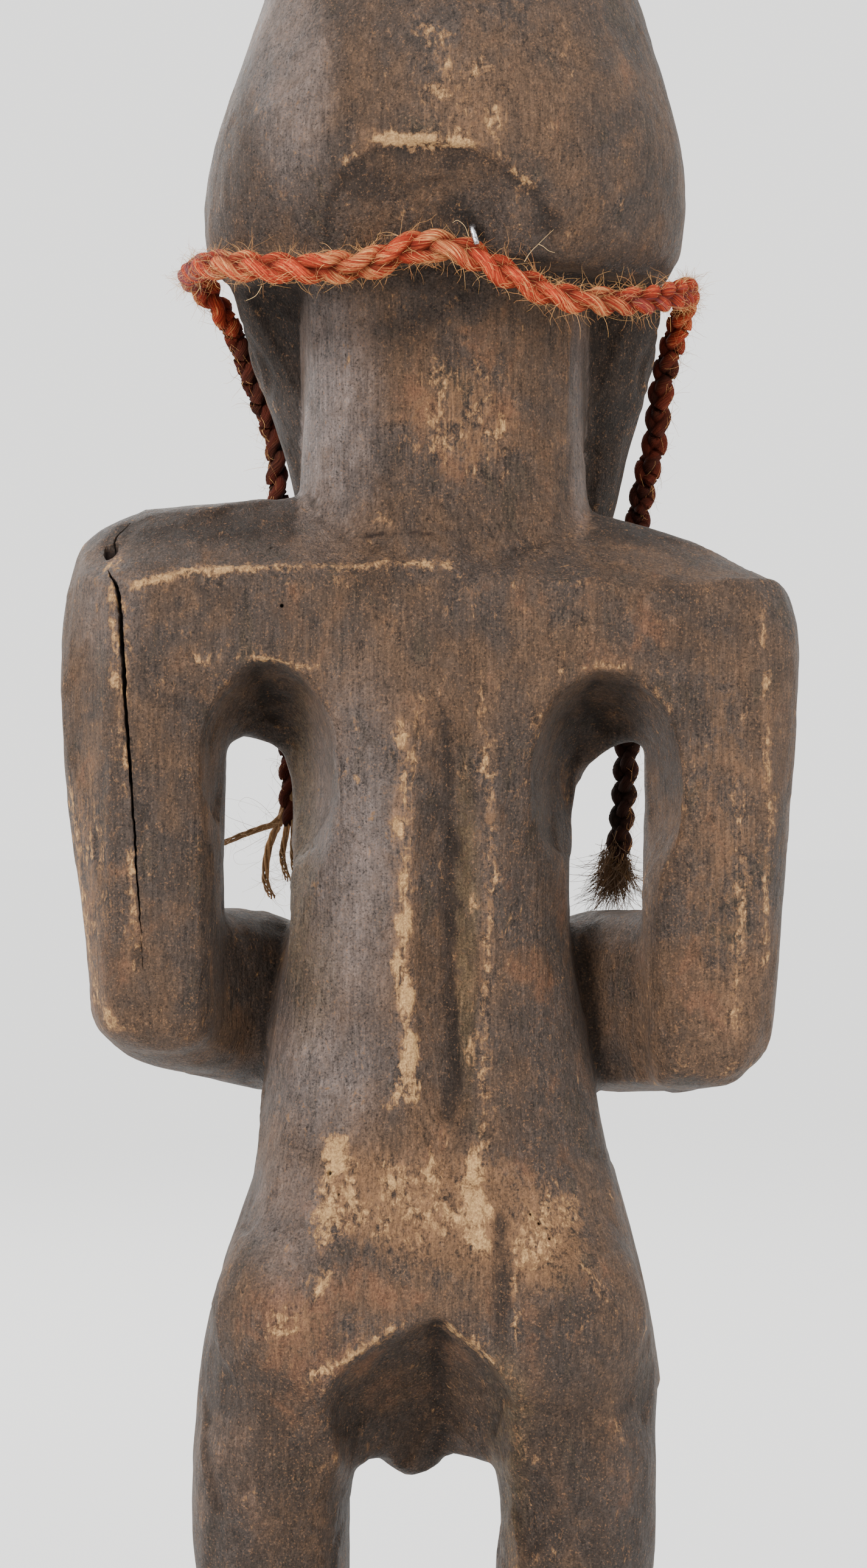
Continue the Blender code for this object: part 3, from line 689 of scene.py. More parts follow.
# %% Nail material
nail_finish, tree, shader = new_material("bright_wire")
place = node(tree, "ShaderNodeTexCoord", out=3)
rubbed = speckle(tree, place, 1.0, 3.0, 0.6, stretch=(900, 900, 3500))
# Painted reflection: dark spots in the wire's colour stand in for the dark things that it reflects.
spots = speckle(tree, place, 1600.0, 4.0, 0.65)
colour = mix(tree, spread(tree, spots, 0.40, 0.66), (0.62, 0.63, 0.67), (0.10, 0.085, 0.08))
tree.links.new(colour, shader.inputs["Base Color"])
shader.inputs["Metallic"].default_value = 1.0
tree.links.new(spread(tree, rubbed, -0.4, 2.1), shader.inputs["Roughness"])
bumps = node(tree, "ShaderNodeBump", {"Height": rubbed, "Strength": 0.35, "Distance": 0.0002})
tree.links.new(bumps, shader.inputs["Normal"])
give(nail, nail_finish)
print("nail material:", len(tree.nodes), "nodes")

# %% [markdown]
# ## The carving
# The solid has the figure's form in large facets. A copy of it is rounded by subdivision,
# then given an even skin of small squares, which is what fine relief needs. The solid
# itself isn't touched.

# %% Copy the solid and give it an even skin
SKIN = 0.00115
carving = bpy.data.objects.new("carved_figure", bpy.data.objects["figure"].data.copy())
bpy.context.scene.collection.objects.link(carving)
choose(carving)
bpy.ops.object.mode_set(mode="EDIT")
bpy.ops.mesh.select_all(action="SELECT")
bpy.ops.mesh.remove_doubles(threshold=0.000001)
bpy.ops.mesh.normals_make_consistent(inside=False)
bpy.ops.object.mode_set(mode="OBJECT")
apply_modifier(carving, "SUBSURF", levels=2, render_levels=2)
apply_modifier(carving, "REMESH", mode="VOXEL", voxel_size=SKIN)
apply_modifier(carving, "SMOOTH", factor=0.5, iterations=5)
print("even skin:", len(carving.data.vertices), "corners")


# %% [markdown]
# Each corner of the skin is known by its place, by the direction it faces, and by the pixel
# of the picture where it would be seen. A mark on the back is then given by its pixels.

# %% Read the skin
def read_skin(piece):
    """Places, directions and edges of a mesh, as arrays."""
    data = piece.data
    points = np.empty(len(data.vertices) * 3)
    data.vertices.foreach_get("co", points)
    facing = np.empty(len(data.vertices) * 3)
    data.vertex_normals.foreach_get("vector", facing)
    edges = np.empty(len(data.edges) * 2, int)
    data.edges.foreach_get("vertices", edges)
    return points.reshape(-1, 3), facing.reshape(-1, 3), edges.reshape(-1, 2)


def average_round(values, edges, times=1):
    """Each corner's value averaged with its neighbours', some times over."""
    count = np.bincount(edges.ravel(), minlength=len(values))
    flat = values.reshape(len(values), -1)
    for _ in range(times):
        total = flat.copy()
        for column in range(flat.shape[1]):
            total[:, column] += np.bincount(edges[:, 0], flat[edges[:, 1], column], len(values))
            total[:, column] += np.bincount(edges[:, 1], flat[edges[:, 0], column], len(values))
        flat = total / (count[:, None] + 1)
    return flat.reshape(values.shape)


points, facing, edges = read_skin(carving)
away = (EYE.y - points[:, 1]) / ZOOM
pixel_x = WIDE / 2 - (points[:, 0] - EYE.x) / away
pixel_y = HIGH / 2 - (points[:, 2] - EYE.z) / away
seen = ramp(facing[:, 1], 0.0, 0.35)
print("facing the camera:", round(float((seen > 0.5).mean()), 2), "of the corners")


# %% Soft shapes in the picture's pixels
def oval(x, y, wide, high, turn=0.0, edge=0.45):
    """1 inside an oval, 0 outside, and soft between them."""
    a = math.radians(turn)
    over, up = pixel_x - x, pixel_y - y
    first = (over * math.cos(a) + up * math.sin(a)) / wide
    second = (up * math.cos(a) - over * math.sin(a)) / high
    return ramp(np.hypot(first, second), 1 + edge, 1 - edge)


def stroke(path, width, over=None, up=None):
    """1 along a line through pixels, or other places, fading out to both sides of it."""
    over = pixel_x if over is None else over
    up = pixel_y if up is None else up
    best = np.full(len(points), 1e9)
    for (x0, y0), (x1, y1) in zip(path, path[1:]):
        dx, dy = x1 - x0, y1 - y0
        t = np.clip(((over - x0) * dx + (up - y0) * dy) / (dx * dx + dy * dy), 0, 1)
        best = np.minimum(best, np.hypot(over - x0 - t * dx, up - y0 - t * dy))
    return np.exp(-(best / width) ** 2)


print("a soft shape covers", int((oval(700, 1900, 60, 40) > 0.5).sum()), "corners")

# %% [markdown]
# ## Cut marks and wear
# The carver left long shallow adze facets, which turn the round forms into many flat ones.
# Handling then rounded the edges. Each corner is moved a little towards the plane of the
# nearest facet, and noise adds the low waves and dents of worn wood.

# %% Adze facets
def facets(count, seed, share, most):
    """How far each corner moves to lie nearer the plane of its nearest facet."""
    centres = np.random.default_rng(seed).choice(len(points), count, replace=False)
    finder = KDTree(count)
    for number, at in enumerate(centres):
        finder.insert(stretched[at], number)
    finder.balance()
    nearest = np.array([finder.find(place)[1] for place in stretched])
    plane = soft_facing[centres][nearest]
    offset = ((points - points[centres][nearest]) * plane).sum(1)
    same_side = ramp((facing * plane).sum(1), 0.55, 0.9)
    return -share * np.clip(offset, -most, most) * same_side


stretched = points * (1, 1, 0.55)
soft_facing = unit(average_round(facing, edges, 6))
smooth_face = np.clip(ramp(points[:, 1], -0.040, -0.028) + ramp(points[:, 2], 0.385, 0.375)
                      + ramp(points[:, 2], 0.510, 0.530), 0.08, 1)
flatten = (facets(2600, 5, 0.34, 0.001) + facets(420, 8, 0.36, 0.0016)) * smooth_face
print("facets: deepest", round(float(abs(flatten).max()) * 1000, 2), "mm")

# %% Waves, dents and grain
waves = 0.00028 * layered(points * (1, 1, 0.6), 0.022, 31, 2)
dents = -0.00028 * ramp(layered(points * (1, 1, 0.5), 0.006, 41), 0.2, 0.8)
crust = 0.00019 * layered(points * (1, 1, 0.7), 0.0042, 45, 2)
grain_lines = 0.00006 * noise(points * (1, 1, 0.12), 0.0028, 51)
print("waves:", round(float(abs(waves).max()) * 1000, 2), "mm at most")

# %% The spine and the arch of the nape
SPINE_LEFT = [(700, 1145), (676, 1190), (665, 1300), (662, 1450), (664, 1600), (668, 1700), (690, 1790)]
SPINE_DEEP = [(722, 1140), (736, 1220), (739, 1380), (738, 1520), (742, 1660), (752, 1780), (762, 1880)]
SPINE_RIGHT = [(742, 1145), (790, 1190), (808, 1300), (808, 1480), (800, 1620), (794, 1730)]
channel = ramp(pixel_x, 676, 692) * ramp(pixel_x, 822, 796)
channel = channel * ramp(pixel_y, 1135, 1175) * ramp(pixel_y, 2000, 1740)
marks = 0.00045 * stroke(SPINE_LEFT, 11) + 0.00026 * stroke(SPINE_RIGHT, 9) - 0.00075 * channel
marks -= 0.00028 * stroke(SPINE_DEEP, 6)
arch_line = np.interp(
    pixel_x, [533, 540, 552, 575, 605, 660, 710, 780, 825, 880, 905, 912],
    [420, 330, 296, 266, 243, 232, 236, 242, 270, 305, 345, 420],
)
arch = ramp(pixel_y - arch_line, -3, 4) * ramp(pixel_x, 533, 540) * ramp(pixel_x, 912, 904)
arch = arch * ramp(pixel_y, 460, 430)
print("arch:", int((arch > 0.5).sum()), "corners")

# %% Marks seen on the back
marks -= 0.0010 * oval(316, 1165, 34, 84, -12) + 0.0006 * oval(1128, 1180, 26, 60)
marks += 0.0003 * stroke([(1250, 985), (1262, 1300), (1256, 1600), (1220, 1720)], 9)
marks -= arch * (0.00060 + 0.00080 * np.exp(-np.clip(pixel_y - arch_line, 0, 200) / 40))
# Raised lines have a depth above 0, and grooves below it.
for depth, width, path in (
    (0.00030, 9, [(536, 330), (560, 275), (605, 238), (660, 226), (710, 230), (780, 236),
     (825, 263), (880, 298)]),
    (-0.0008, 16, [(824, 2015), (826, 2100), (822, 2215)]),
    (0.0004, 7, [(215, 962), (300, 941), (430, 934), (600, 931), (740, 930)]),
    (-0.00035, 5, [(585, 880), (650, 876), (714, 882)]),
    (0.0003, 7, [(537, 2232), (629, 2192), (724, 2162)]),
    (0.0003, 6, [(744, 2180), (804, 2222)]),
    (0.00045, 8, [(533, -20), (533, 90), (536, 165)]),
    (-0.00025, 6, [(460, 106), (500, 98), (530, 94)]),
    (-0.0005, 8, [(880, 446), (950, 456), (1040, 448), (1113, 428)]),
    (-0.0003, 5, [(850, 2150), (848, 2200)]),
):
    marks += depth * stroke(path, width)
print("marks:", int((abs(marks) > 0.0001).sum()), "corners")

# %% [markdown]
# The picture shows only the back. The front is finished more plainly: the solid has its
# forms, and shallow grooves mark the closed eyes, the mouth, the fingers, the toes and the
# low ears. Their places are in millimetres.

# %% Eyes, mouth and fingers
FACE_MIDDLE, FOOT_MIDDLE = -6.3, 39.8
front = ramp(-facing[:, 1], 0.05, 0.45)
from_back, from_side, height_up = points[:, 1] * 1000, points[:, 0] * 1000, points[:, 2] * 1000


def front_strokes(depth, width, *paths):
    """Lines on the front of the figure, through places across and up in millimetres."""
    lines = [stroke(path, width, from_side, height_up) for path in paths]
    return depth * np.max(lines, axis=0) * front


grooves = front_strokes(1.0, 1.2, *[
    [(FACE_MIDDLE + x, z) for x, z in path] for path in (
        [(-33, 488.6), (-27, 487.0), (-19, 486.8), (-12, 488.4)],
        [(12, 488.4), (19, 486.8), (27, 487.0), (33, 488.6)],
        [(-12, 432.4), (-4, 431.2), (4, 431.2), (12, 432.4)],
    )
])
grooves += front_strokes(0.45, 1.2, *[
    [(FACE_MIDDLE + x, z) for x, z in path] for path in (
        [(-34, 491.5), (-23, 496.0), (-12, 493.5)], [(12, 493.5), (23, 496.0), (34, 491.5)],
        [(-8.0, 454.5), (-10.2, 459.5), (-7.8, 465.5)], [(8.0, 454.5), (10.2, 459.5), (7.8, 465.5)],
    )
])
grooves += front_strokes(1.0, 1.1, *[
    [(side * 1, 311.8 + 6.2 * finger), (side * 12, 310.8 + 7 * finger), (side * 22, 309.6 + 7 * finger)]
    for side in (1, -1) for finger in (-1, 0, 1)
])
print("eyes, mouth and fingers:", int((grooves > 0.4).sum()), "corners")

# %% Toes and ears
for side in (1, -1):
    for toe in (-10.1, -3.4, 3.4, 10.1):
        between = np.exp(-((from_side - side * FOOT_MIDDLE - toe) / 1.0) ** 2)
        between = between * ramp(from_back, -44, -50)
        grooves += between * ramp(height_up, 19, 22) * ramp(height_up, 38, 34)
beside = ramp(abs(facing[:, 0]), 0.25, 0.6) * ramp(abs(from_side - FACE_MIDDLE), 40, 45)
around = np.linspace(-1.9, 1.9, 12)
for wide, high, depth in ((3.0, 6.0, 0.8), (6.4, 10.4, 0.6)):
    ring = [(-25 + wide * math.cos(a), 472.3 + high * math.sin(a)) for a in around]
    grooves += depth * stroke(ring, 1.1, from_back, height_up) * beside
lips = front_strokes(0.0005, 2.0, [(FACE_MIDDLE - 9, 435.0), (FACE_MIDDLE + 9, 435.0)],
                     [(FACE_MIDDLE - 8, 427.6), (FACE_MIDDLE + 8, 427.6)])
print("grooves:", int((grooves > 0.4).sum()), "corners")

# %% Move the skin
GROOVE_DEPTH = 0.0011
MOST_IN, MOST_OUT = 0.0015, 0.0009
moved = flatten + (waves + dents + crust) * (0.35 + 0.65 * smooth_face) + grain_lines + marks * seen
moved += lips - GROOVE_DEPTH * np.clip(grooves, 0, 1)
moved = np.clip(moved, -MOST_IN, MOST_OUT)
moved = average_round(moved, edges, 1)
points = points + facing * moved[:, None]
points[:, 2] = np.maximum(points[:, 2], 0.0)
carving.data.vertices.foreach_set("co", points.ravel())
carving.data.update()
print("relief:", [round(float(edge) * 1000, 2) for edge in (moved.min(), moved.max())], "mm")

# %% [markdown]
# ## Where the wood is worn, dirty or polished, and where sheen and shade are painted
# Handling wears the parts that stand out and leaves dirt in the hollows. How far a corner stands out
# from the average of the corners round it gives both; on the front the hollows are darkened further, as
# painted shade. The marks that only this figure has are then laid over, by their places in the picture,
# and painted sheen and painted shade are laid with them.

# %% Ridges and hollows
points, facing, edges = read_skin(carving)
near = ((points - average_round(points, edges, 4)) * facing).sum(1)
broad = ((points - average_round(points, edges, 30)) * facing).sum(1)
ridge = ramp(near, 0.00004, 0.00022) * 0.6 + ramp(broad, 0.0002, 0.0011) * 0.7
hollow = ramp(-near, 0.00003, 0.00020) * 0.5 + ramp(-broad, 0.0002, 0.0012) * 0.8
ridge, hollow = average_round(ridge, edges, 1), average_round(hollow, edges, 1)
# Painted shade: on the front the hollows count more, so that the forms read deeper.
hollow = hollow * (1.7 - 0.7 * seen)
print("ridges, hollows:", [round(float((field > 0.5).mean()), 3) for field in (ridge, hollow)])


# %% Several soft shapes at once
def shapes(ovals=(), strokes=()):
    """The most of several ovals and strokes. Each carries its own strength last."""
    total = np.zeros(len(points))
    for *shape, strength in ovals:
        total = np.maximum(total, oval(*shape) * strength)
    for path, width, strength in strokes:
        total = np.maximum(total, stroke(path, width) * strength)
    return total * seen


print("one shape covers", int((shapes([(700, 1900, 60, 40, 1.0)]) > 0.5).sum()), "seen corners")

# %% Pale and tan wood, by the picture
pale = shapes(
    [(553, 1900, 24, 38, 0.95), (560, 1950, 34, 50, 0.70), (540, 2000, 28, 50, 14, 0.70),
     (643, 1940, 34, 40, 0.52), (704, 1945, 26, 54, 0.54), (778, 1944, 20, 70, 0.82),
     (784, 2010, 34, 54, 0.76), (880, 2040, 40, 66, 14, 0.64), (920, 1990, 40, 40, 0.52),
     (660, 2000, 100, 40, 0.50), (777, 1483, 10, 12, 0.8), (768, 1726, 8, 26, 0.55),
     (190, 935, 16, 18, 0.6), (712, 232, 110, 14, 0.44), (757, 690, 80, 100, 0.33),
     (150, 1440, 26, 170, 0.36), (660, 229, 56, 11, 3, 0.90), (756, 235, 22, 10, 10, 0.86),
     (815, 198, 17, 22, 0.66), (716, 58, 32, 20, 30, 0.6), (720, 146, 26, 22, 0.55),
     (470, 2170, 30, 24, -30, 0.55), (528, 2110, 16, 34, 20, 0.60), (757, 150, 70, 60, 0.36),
     (658, 1208, 12, 30, 0.75), (664, 1280, 10, 26, 0.75), (652, 1358, 14, 30, 0.80),
     (660, 1448, 11, 30, 0.75), (666, 1520, 15, 34, 0.85), (656, 1580, 13, 28, 0.75),
     (666, 1640, 17, 34, 0.85), (674, 1724, 15, 40, 0.85), (680, 1796, 10, 22, 0.75)],
    [([(215, 965), (300, 941), (430, 934)], 8, 0.70), ([(430, 934), (600, 931), (740, 930)], 8, 0.50),
     ([(184, 958), (188, 1010), (191, 1075)], 7, 0.70),
     ([(204, 972), (208, 1070), (213, 1160)], 8, 0.64),
     ([(190, 1100), (203, 1200), (212, 1400), (226, 1590)], 9, 0.46),
     ([(120, 1290), (140, 1500), (166, 1640), (190, 1690)], 11, 0.54),
     ([(690, 1150), (668, 1240), (664, 1360), (662, 1500), (663, 1640), (672, 1770)], 12, 0.42),
     ([(640, 1820), (662, 1790), (668, 1740)], 12, 0.6),
     ([(790, 1160), (806, 1290), (806, 1480), (800, 1620), (794, 1730), (792, 1880)], 10, 0.50),
     ([(330, 1086), (372, 1078), (420, 1080), (500, 1094), (560, 1110)], 6, 0.54),
     ([(860, 1120), (930, 1098), (1040, 1092), (1130, 1122)], 6, 0.44),
     ([(513, 2262), (570, 2228), (627, 2194), (650, 2178)], 8, 0.62),
     ([(734, 2176), (808, 2236)], 7, 0.68),
     ([(848, 2020), (850, 2110), (848, 2205)], 5, 0.62), ([(614, 240), (560, 268)], 6, 0.46),
     ([(842, 279), (880, 306)], 4, 0.8), ([(940, 2040), (960, 2090)], 8, 0.50),
     ([(1215, 1300), (1218, 1500), (1208, 1690)], 13, 0.46),
     ([(1252, 1000), (1262, 1300), (1254, 1600)], 7, 0.44)],
)
tan = shapes(
    [(760, 2000, 190, 110, 0.85), (600, 1960, 80, 90, 0.75), (480, 2190, 60, 70, 30, 0.60),
     (900, 2040, 70, 90, 0.80), (757, 690, 100, 110, 0.55), (760, 150, 110, 100, 0.40),
     (830, 40, 70, 70, 0.40), (662, 1480, 30, 320, 0.50), (800, 1500, 20, 330, 0.45),
     (1190, 1400, 70, 360, 0.50), (700, 1860, 60, 60, 0.45), (150, 1420, 40, 260, 0.45),
     (880, 130, 90, 150, 0.30), (560, 1080, 160, 60, 0.35), (960, 1000, 120, 50, 0.30),
     (700, 2120, 180, 60, 0.45), (560, 2170, 90, 60, 0.45)],
    [([(215, 955), (430, 930), (740, 928)], 22, 0.45), ([(600, 2240), (520, 2290)], 50, 0.40)],
)
print("pale and tan:", [round(float(field.mean()), 3) for field in (pale, tan)])

# %% Pale and tan wood where the picture doesn't show it
everywhere = ramp(layered(points * (1, 1, 0.6), 0.045, 61), 0.15, 0.7) * (1 - 0.6 * seen)
tan = np.maximum(tan, np.maximum(0.5 * everywhere * ridge, 0.25 * everywhere))
edge_wear = 0.36 - 0.17 * ramp(points[:, 2], 0.40, 0.42)
pale = np.maximum(pale, edge_wear * ramp(ridge, 0.35, 0.9) * (1 - seen))
print("pale wood:", round(float((pale > 0.4).mean()), 3), "tan:", round(float((tan > 0.4).mean()), 3))

# %% Red and olive places, painted sheen, and dark places with painted shade
red = shapes(
    [(757, 690, 110, 120, 0.7), (494, 2196, 90, 110, 0.8), (680, 2080, 130, 90, 0.6),
     (900, 2130, 120, 90, 0.5), (1000, 1010, 150, 90, 0.4), (560, 1030, 160, 70, 0.4),
     (880, 1850, 70, 110, 0.5), (880, 1500, 60, 260, 0.4), (1150, 1500, 60, 200, 0.45),
     (180, 905, 20, 34, 1.0), (560, 2010, 70, 90, 0.6), (150, 1500, 60, 200, 0.4)],
    [([(700, 2250), (560, 2290), (470, 2360)], 60, 0.5)],
)
# Painted sheen: a grey reflection on the parts that face left, laid into the colour.
painted_sheen = shapes(
    [(482, 130, 60, 160, 0.8), (530, 670, 72, 170, 0, 0.85, 1.35),
     (530, 1760, 90, 110, 20, 0.8, 0.9), (580, 1420, 66, 250, 0, 0.8, 0.95),
     (470, 2000, 60, 120, 0.6), (380, 2440, 60, 120, 0.26),
     (955, 690, 18, 170, 0.8), (180, 1000, 50, 90, 0.5), (560, 800, 60, 40, 0.5)],
)
olive = shapes(
    [(494, 1400, 26, 230, 0.9), (764, 1520, 18, 260, 0.8), (832, 2410, 30, 160, 0.9),
     (520, 1620, 30, 120, 10, 0.6), (840, 2290, 30, 70, -20, 0.6)],
)
# Dark patches of crust and dirt, with painted shade: under the arch of the nape and the rim of the
# head, in the scoops and armpits by the arms, along the spine, in the notch and beside the nail.
dark_patches_and_shade = shapes(
    [(720, 330, 150, 70, 0.42), (1120, 1020, 130, 80, 0.50), (290, 1250, 60, 230, 0.30),
     (316, 1165, 34, 70, -12, 0.45), (1128, 1180, 26, 60, 0.35), (860, 1880, 40, 90, 0.3),
     (790, 386, 9, 16, -20, 1.5), (598, 298, 44, 32, 1.2), (745, 266, 30, 16, 1.0),
     (747, 345, 28, 24, 1.2),
     (904, 363, 26, 22, 1.1), (708, 1450, 30, 300, 0.34), (824, 2110, 20, 100, 0.8),
     (960, 2190, 130, 60, 0.6), (1000, 2300, 90, 90, 0.5), (690, 2290, 110, 80, 0.45),
     (620, 950, 60, 34, 0.7), (700, 970, 50, 26, 0.5), (228, 1570, 16, 22, 0.9),
     (238, 1340, 14, 18, 0.9), (720, 560, 70, 60, 0.4), (900, 900, 120, 30, 0.35),
     (420, 1180, 60, 60, 0.4), (966, 1180, 60, 70, 0.4), (600, 770, 60, 30, 0.3)],
    [(SPINE_DEEP, 6, 0.5), ([(696, 1200), (690, 1400), (688, 1600), (694, 1800)], 8, 0.4),
     ([(822, 1200), (824, 1450), (816, 1700)], 9, 0.4), ([(880, 446), (950, 456), (1113, 428)], 9, 0.8),
     ([(536, 400), (543, 328), (577, 275), (612, 252)], 10, 0.85),
     ([(660, 243), (720, 246), (786, 254), (828, 280), (884, 316), (906, 380)], 8, 0.7),
     ([(822, 2000), (822, 2190)], 14, 0.95)],
)
# Painted shade under the edge of the nape's arch, with its dirt, fading downwards.
dark_patches_and_shade = np.maximum(dark_patches_and_shade, 0.75 * arch * ramp(pixel_y - arch_line, 90, 8) * seen)
# Darker towards the bottom of the legs.
dark_patches_and_shade = np.maximum(dark_patches_and_shade, 0.68 * ramp(points[:, 2], 0.235, 0.185))
# Painted shade in the carved grooves of the face, hands, feet and ears.
dark_patches_and_shade = np.maximum(dark_patches_and_shade, 0.9 * grooves)
# Painted shadow of the head's brim on the sides of the face beside the neck.
painted_shadow_beside_neck = ramp(abs(points[:, 0] + 0.0040), 0.0392, 0.0405) * ramp(facing[:, 1], 0.0, 0.25)
painted_shadow_beside_neck = painted_shadow_beside_neck * ramp(points[:, 2], 0.412, 0.425) * ramp(points[:, 2], 0.495, 0.487)
dark_patches_and_shade = np.maximum(dark_patches_and_shade, 1.5 * painted_shadow_beside_neck)
print("red, sheen, olive, dark:", [round(float(f.mean()), 3) for f in (red, painted_sheen, olive, dark_patches_and_shade)])

# %% [markdown]
# ## Cracks, a chip and worm holes
# The left shoulder has split: a chip is gone from its top, and a crack runs from it down
# the whole arm. Each cut is made with a thin closed shape that a Boolean takes away, so
# its lips are sharp and its inside is real.


# %% Places on the surface
def look_up(piece):
    """A search tree for the first surface behind a pixel."""
    data = piece.data
    corners = [v.co for v in data.vertices]
    return BVHTree.FromPolygons(corners, [tuple(p.vertices) for p in data.polygons])


surface = look_up(carving)


def on_surface(x, y):
    """The point of the figure that a pixel shows, and the direction it faces."""
    way = (at_pixel(x, y, 0.0) - EYE).normalized()
    return surface.ray_cast(EYE, way)[:2]


print("the picture's middle shows the point", on_surface(WIDE / 2, HIGH / 2)[0])


# %% Cutters for the cracks
def face_outwards(piece):
    """Turns all faces of a closed shape to point out of it."""
    choose(piece)
    bpy.ops.object.mode_set(mode="EDIT")
    bpy.ops.mesh.select_all(action="SELECT")
    bpy.ops.mesh.normals_make_consistent(inside=False)
    bpy.ops.object.mode_set(mode="OBJECT")


def crack_cutter(name, path, width, depth, seed):
    """A thin ragged wedge along a line of pixels, wide at the skin and sharp inside."""
    spots = [on_surface(x, y) for x, y in smooth_line([(x, y, 0) for x, y in path], 9)[0][:, :2]]
    spots = [spot for spot in spots if spot[0] is not None]
    shaker = np.random.default_rng(seed)
    rings = []
    for at, (place, normal) in enumerate(spots):
        ahead = (spots[min(at + 1, len(spots) - 1)][0] - spots[max(at - 1, 0)][0]).normalized()
        side = ahead.cross(normal).normalized()
        share = at / (len(spots) - 1)
        size = width * (min(1, 8 * share) * min(1, 1.5 * (1 - share)) + 0.12)
        size = size * shaker.uniform(0.85, 1.15)
        shift = side * shaker.normal(0, width * 0.06)
        rings += [
            place + shift + side * size / 2 + normal * 0.002,
            place + shift - side * size / 2 + normal * 0.002,
            place + shift - normal * depth * (0.4 + 0.6 * min(1, 6 * (1 - share))),
        ]
    faces = [(3 * at + k, 3 * at + (k + 1) % 3, 3 * at + 3 + (k + 1) % 3, 3 * at + 3 + k)
             for at in range(len(spots) - 1) for k in range(3)]
    last = 3 * (len(spots) - 1)
    piece = mesh_piece(name, np.array(rings), faces + [(2, 1, 0), (last, last + 1, last + 2)])
    face_outwards(piece)
    return piece


cuts = [
    crack_cutter("arm_crack", [(176, 935), (192, 966), (197, 1010), (200, 1059), (205, 1140),
                               (212, 1236), (218, 1330), (225, 1430), (231, 1520), (236, 1610)],
                 0.0015, 0.007, 3),
    crack_cutter("top_crack", [(186, 905), (190, 885), (206, 868), (216, 858)], 0.0009, 0.003, 6),
]
print("cracks:", [len(cut.data.vertices) for cut in cuts], "corners")

# %% Cutters for the chip and the holes
place, normal = on_surface(184, 903)
bpy.ops.mesh.primitive_ico_sphere_add(subdivisions=3, radius=0.0034, location=place + normal * 0.0012)
chip = bpy.context.object
bpy.ops.object.transform_apply(location=True, rotation=True, scale=True)
chip_points = np.array([v.co for v in chip.data.vertices])
middle = chip_points.mean(0)
ragged = 1 + 0.35 * layered(chip_points, 0.002, 77)
chip_points = middle + (chip_points - middle) * ragged[:, None] * (0.62, 0.9, 1.5)
chip.data.vertices.foreach_set("co", chip_points.ravel())

HOLES = [(541, 1927, 0.0009), (452, 2020, 0.0008), (463, 995, 0.0007), (445, 900, 0.0006),
         (886, 2010, 0.0006), (903, 2035, 0.0005), (872, 1995, 0.0005), (556, 1962, 0.0005)]
holes = []
for x, y, radius in HOLES:
    place, normal = on_surface(x, y)
    bpy.ops.mesh.primitive_cone_add(
        vertices=9, radius1=radius * 0.5, radius2=radius, depth=0.004,
        location=place - normal * 0.0006, rotation=normal.to_track_quat("Z", "Y").to_euler(),
    )
    bpy.ops.object.transform_apply(location=True, rotation=True, scale=True)
    holes.append(bpy.context.object)
print("holes:", len(holes))


# %% Join the cutters
def joined(pieces):
    """Several pieces made one. The first one is kept."""
    bpy.ops.object.select_all(action="DESELECT")
    for piece in pieces:
        piece.select_set(True)
    bpy.context.view_layer.objects.active = pieces[0]
    bpy.ops.object.join()
    return pieces[0]


split = joined(cuts + [chip])
apply_modifier(split, "REMESH", mode="VOXEL", voxel_size=0.00025)
apply_modifier(split, "SMOOTH", factor=0.5, iterations=2)
apply_modifier(split, "DECIMATE", ratio=0.4)
cutter = joined([split] + holes)
print("cutter:", len(cutter.data.polygons), "faces")

# %% [markdown]
# The skin has far more squares than it needs on its flat parts. Decimation merges them
# there and keeps them where the relief is. The cuts come after it, so that it can't blur
# their edges. A Boolean leaves a few faces with no area, which are taken out again.

# %% Thin the skin and make the cuts
SKIN_TRIANGLES = 160000
NO_LENGTH = 0.000002
fine_points = points.copy()
fields = {"ridge": ridge, "hollow": hollow, "pale": pale, "tan": tan, "red": red,
          "painted_sheen": painted_sheen, "olive": olive, "dark_patches_and_shade": dark_patches_and_shade}
triangles = sum(len(p.vertices) - 2 for p in carving.data.polygons)
apply_modifier(carving, "DECIMATE", ratio=SKIN_TRIANGLES / triangles)
uncut = carving.data.copy()
apply_modifier(carving, "BOOLEAN", operation="DIFFERENCE", solver="EXACT", object=cutter)
if len(carving.data.polygons) < len(uncut.polygons) / 2:
    print("the cut failed, so the skin stays whole")
    carving.data = uncut
bpy.data.objects.remove(cutter)
apply_modifier(carving, "TRIANGULATE")
bpy.ops.object.mode_set(mode="EDIT")
bpy.ops.mesh.select_all(action="SELECT")
bpy.ops.mesh.dissolve_degenerate(threshold=NO_LENGTH)
bpy.ops.mesh.remove_doubles(threshold=NO_LENGTH)
bpy.ops.mesh.select_all(action="SELECT")
bpy.ops.mesh.delete_loose()
bpy.ops.object.mode_set(mode="OBJECT")
apply_modifier(carving, "TRIANGULATE")
carving.data.validate()
carving.data.shade_smooth()
sides = np.empty(len(carving.data.loops), int)
carving.data.loops.foreach_get("edge_index", sides)
shared = np.bincount(sides, minlength=len(carving.data.edges))
print("carving:", len(carving.data.polygons), "triangles")
print("edges that two faces don't share:", int((shared != 2).sum()))

# %% Lay the fields on the finished skin
finder = KDTree(len(fine_points))
for at, place in enumerate(fine_points):
    finder.insert(place, at)
finder.balance()
final_points = read_skin(carving)[0]
match = np.array([finder.find(place)[1] for place in final_points])
for name, values in fields.items():
    add_values(carving, name, values[match])
off_skin = np.linalg.norm(final_points - fine_points[match], axis=1)
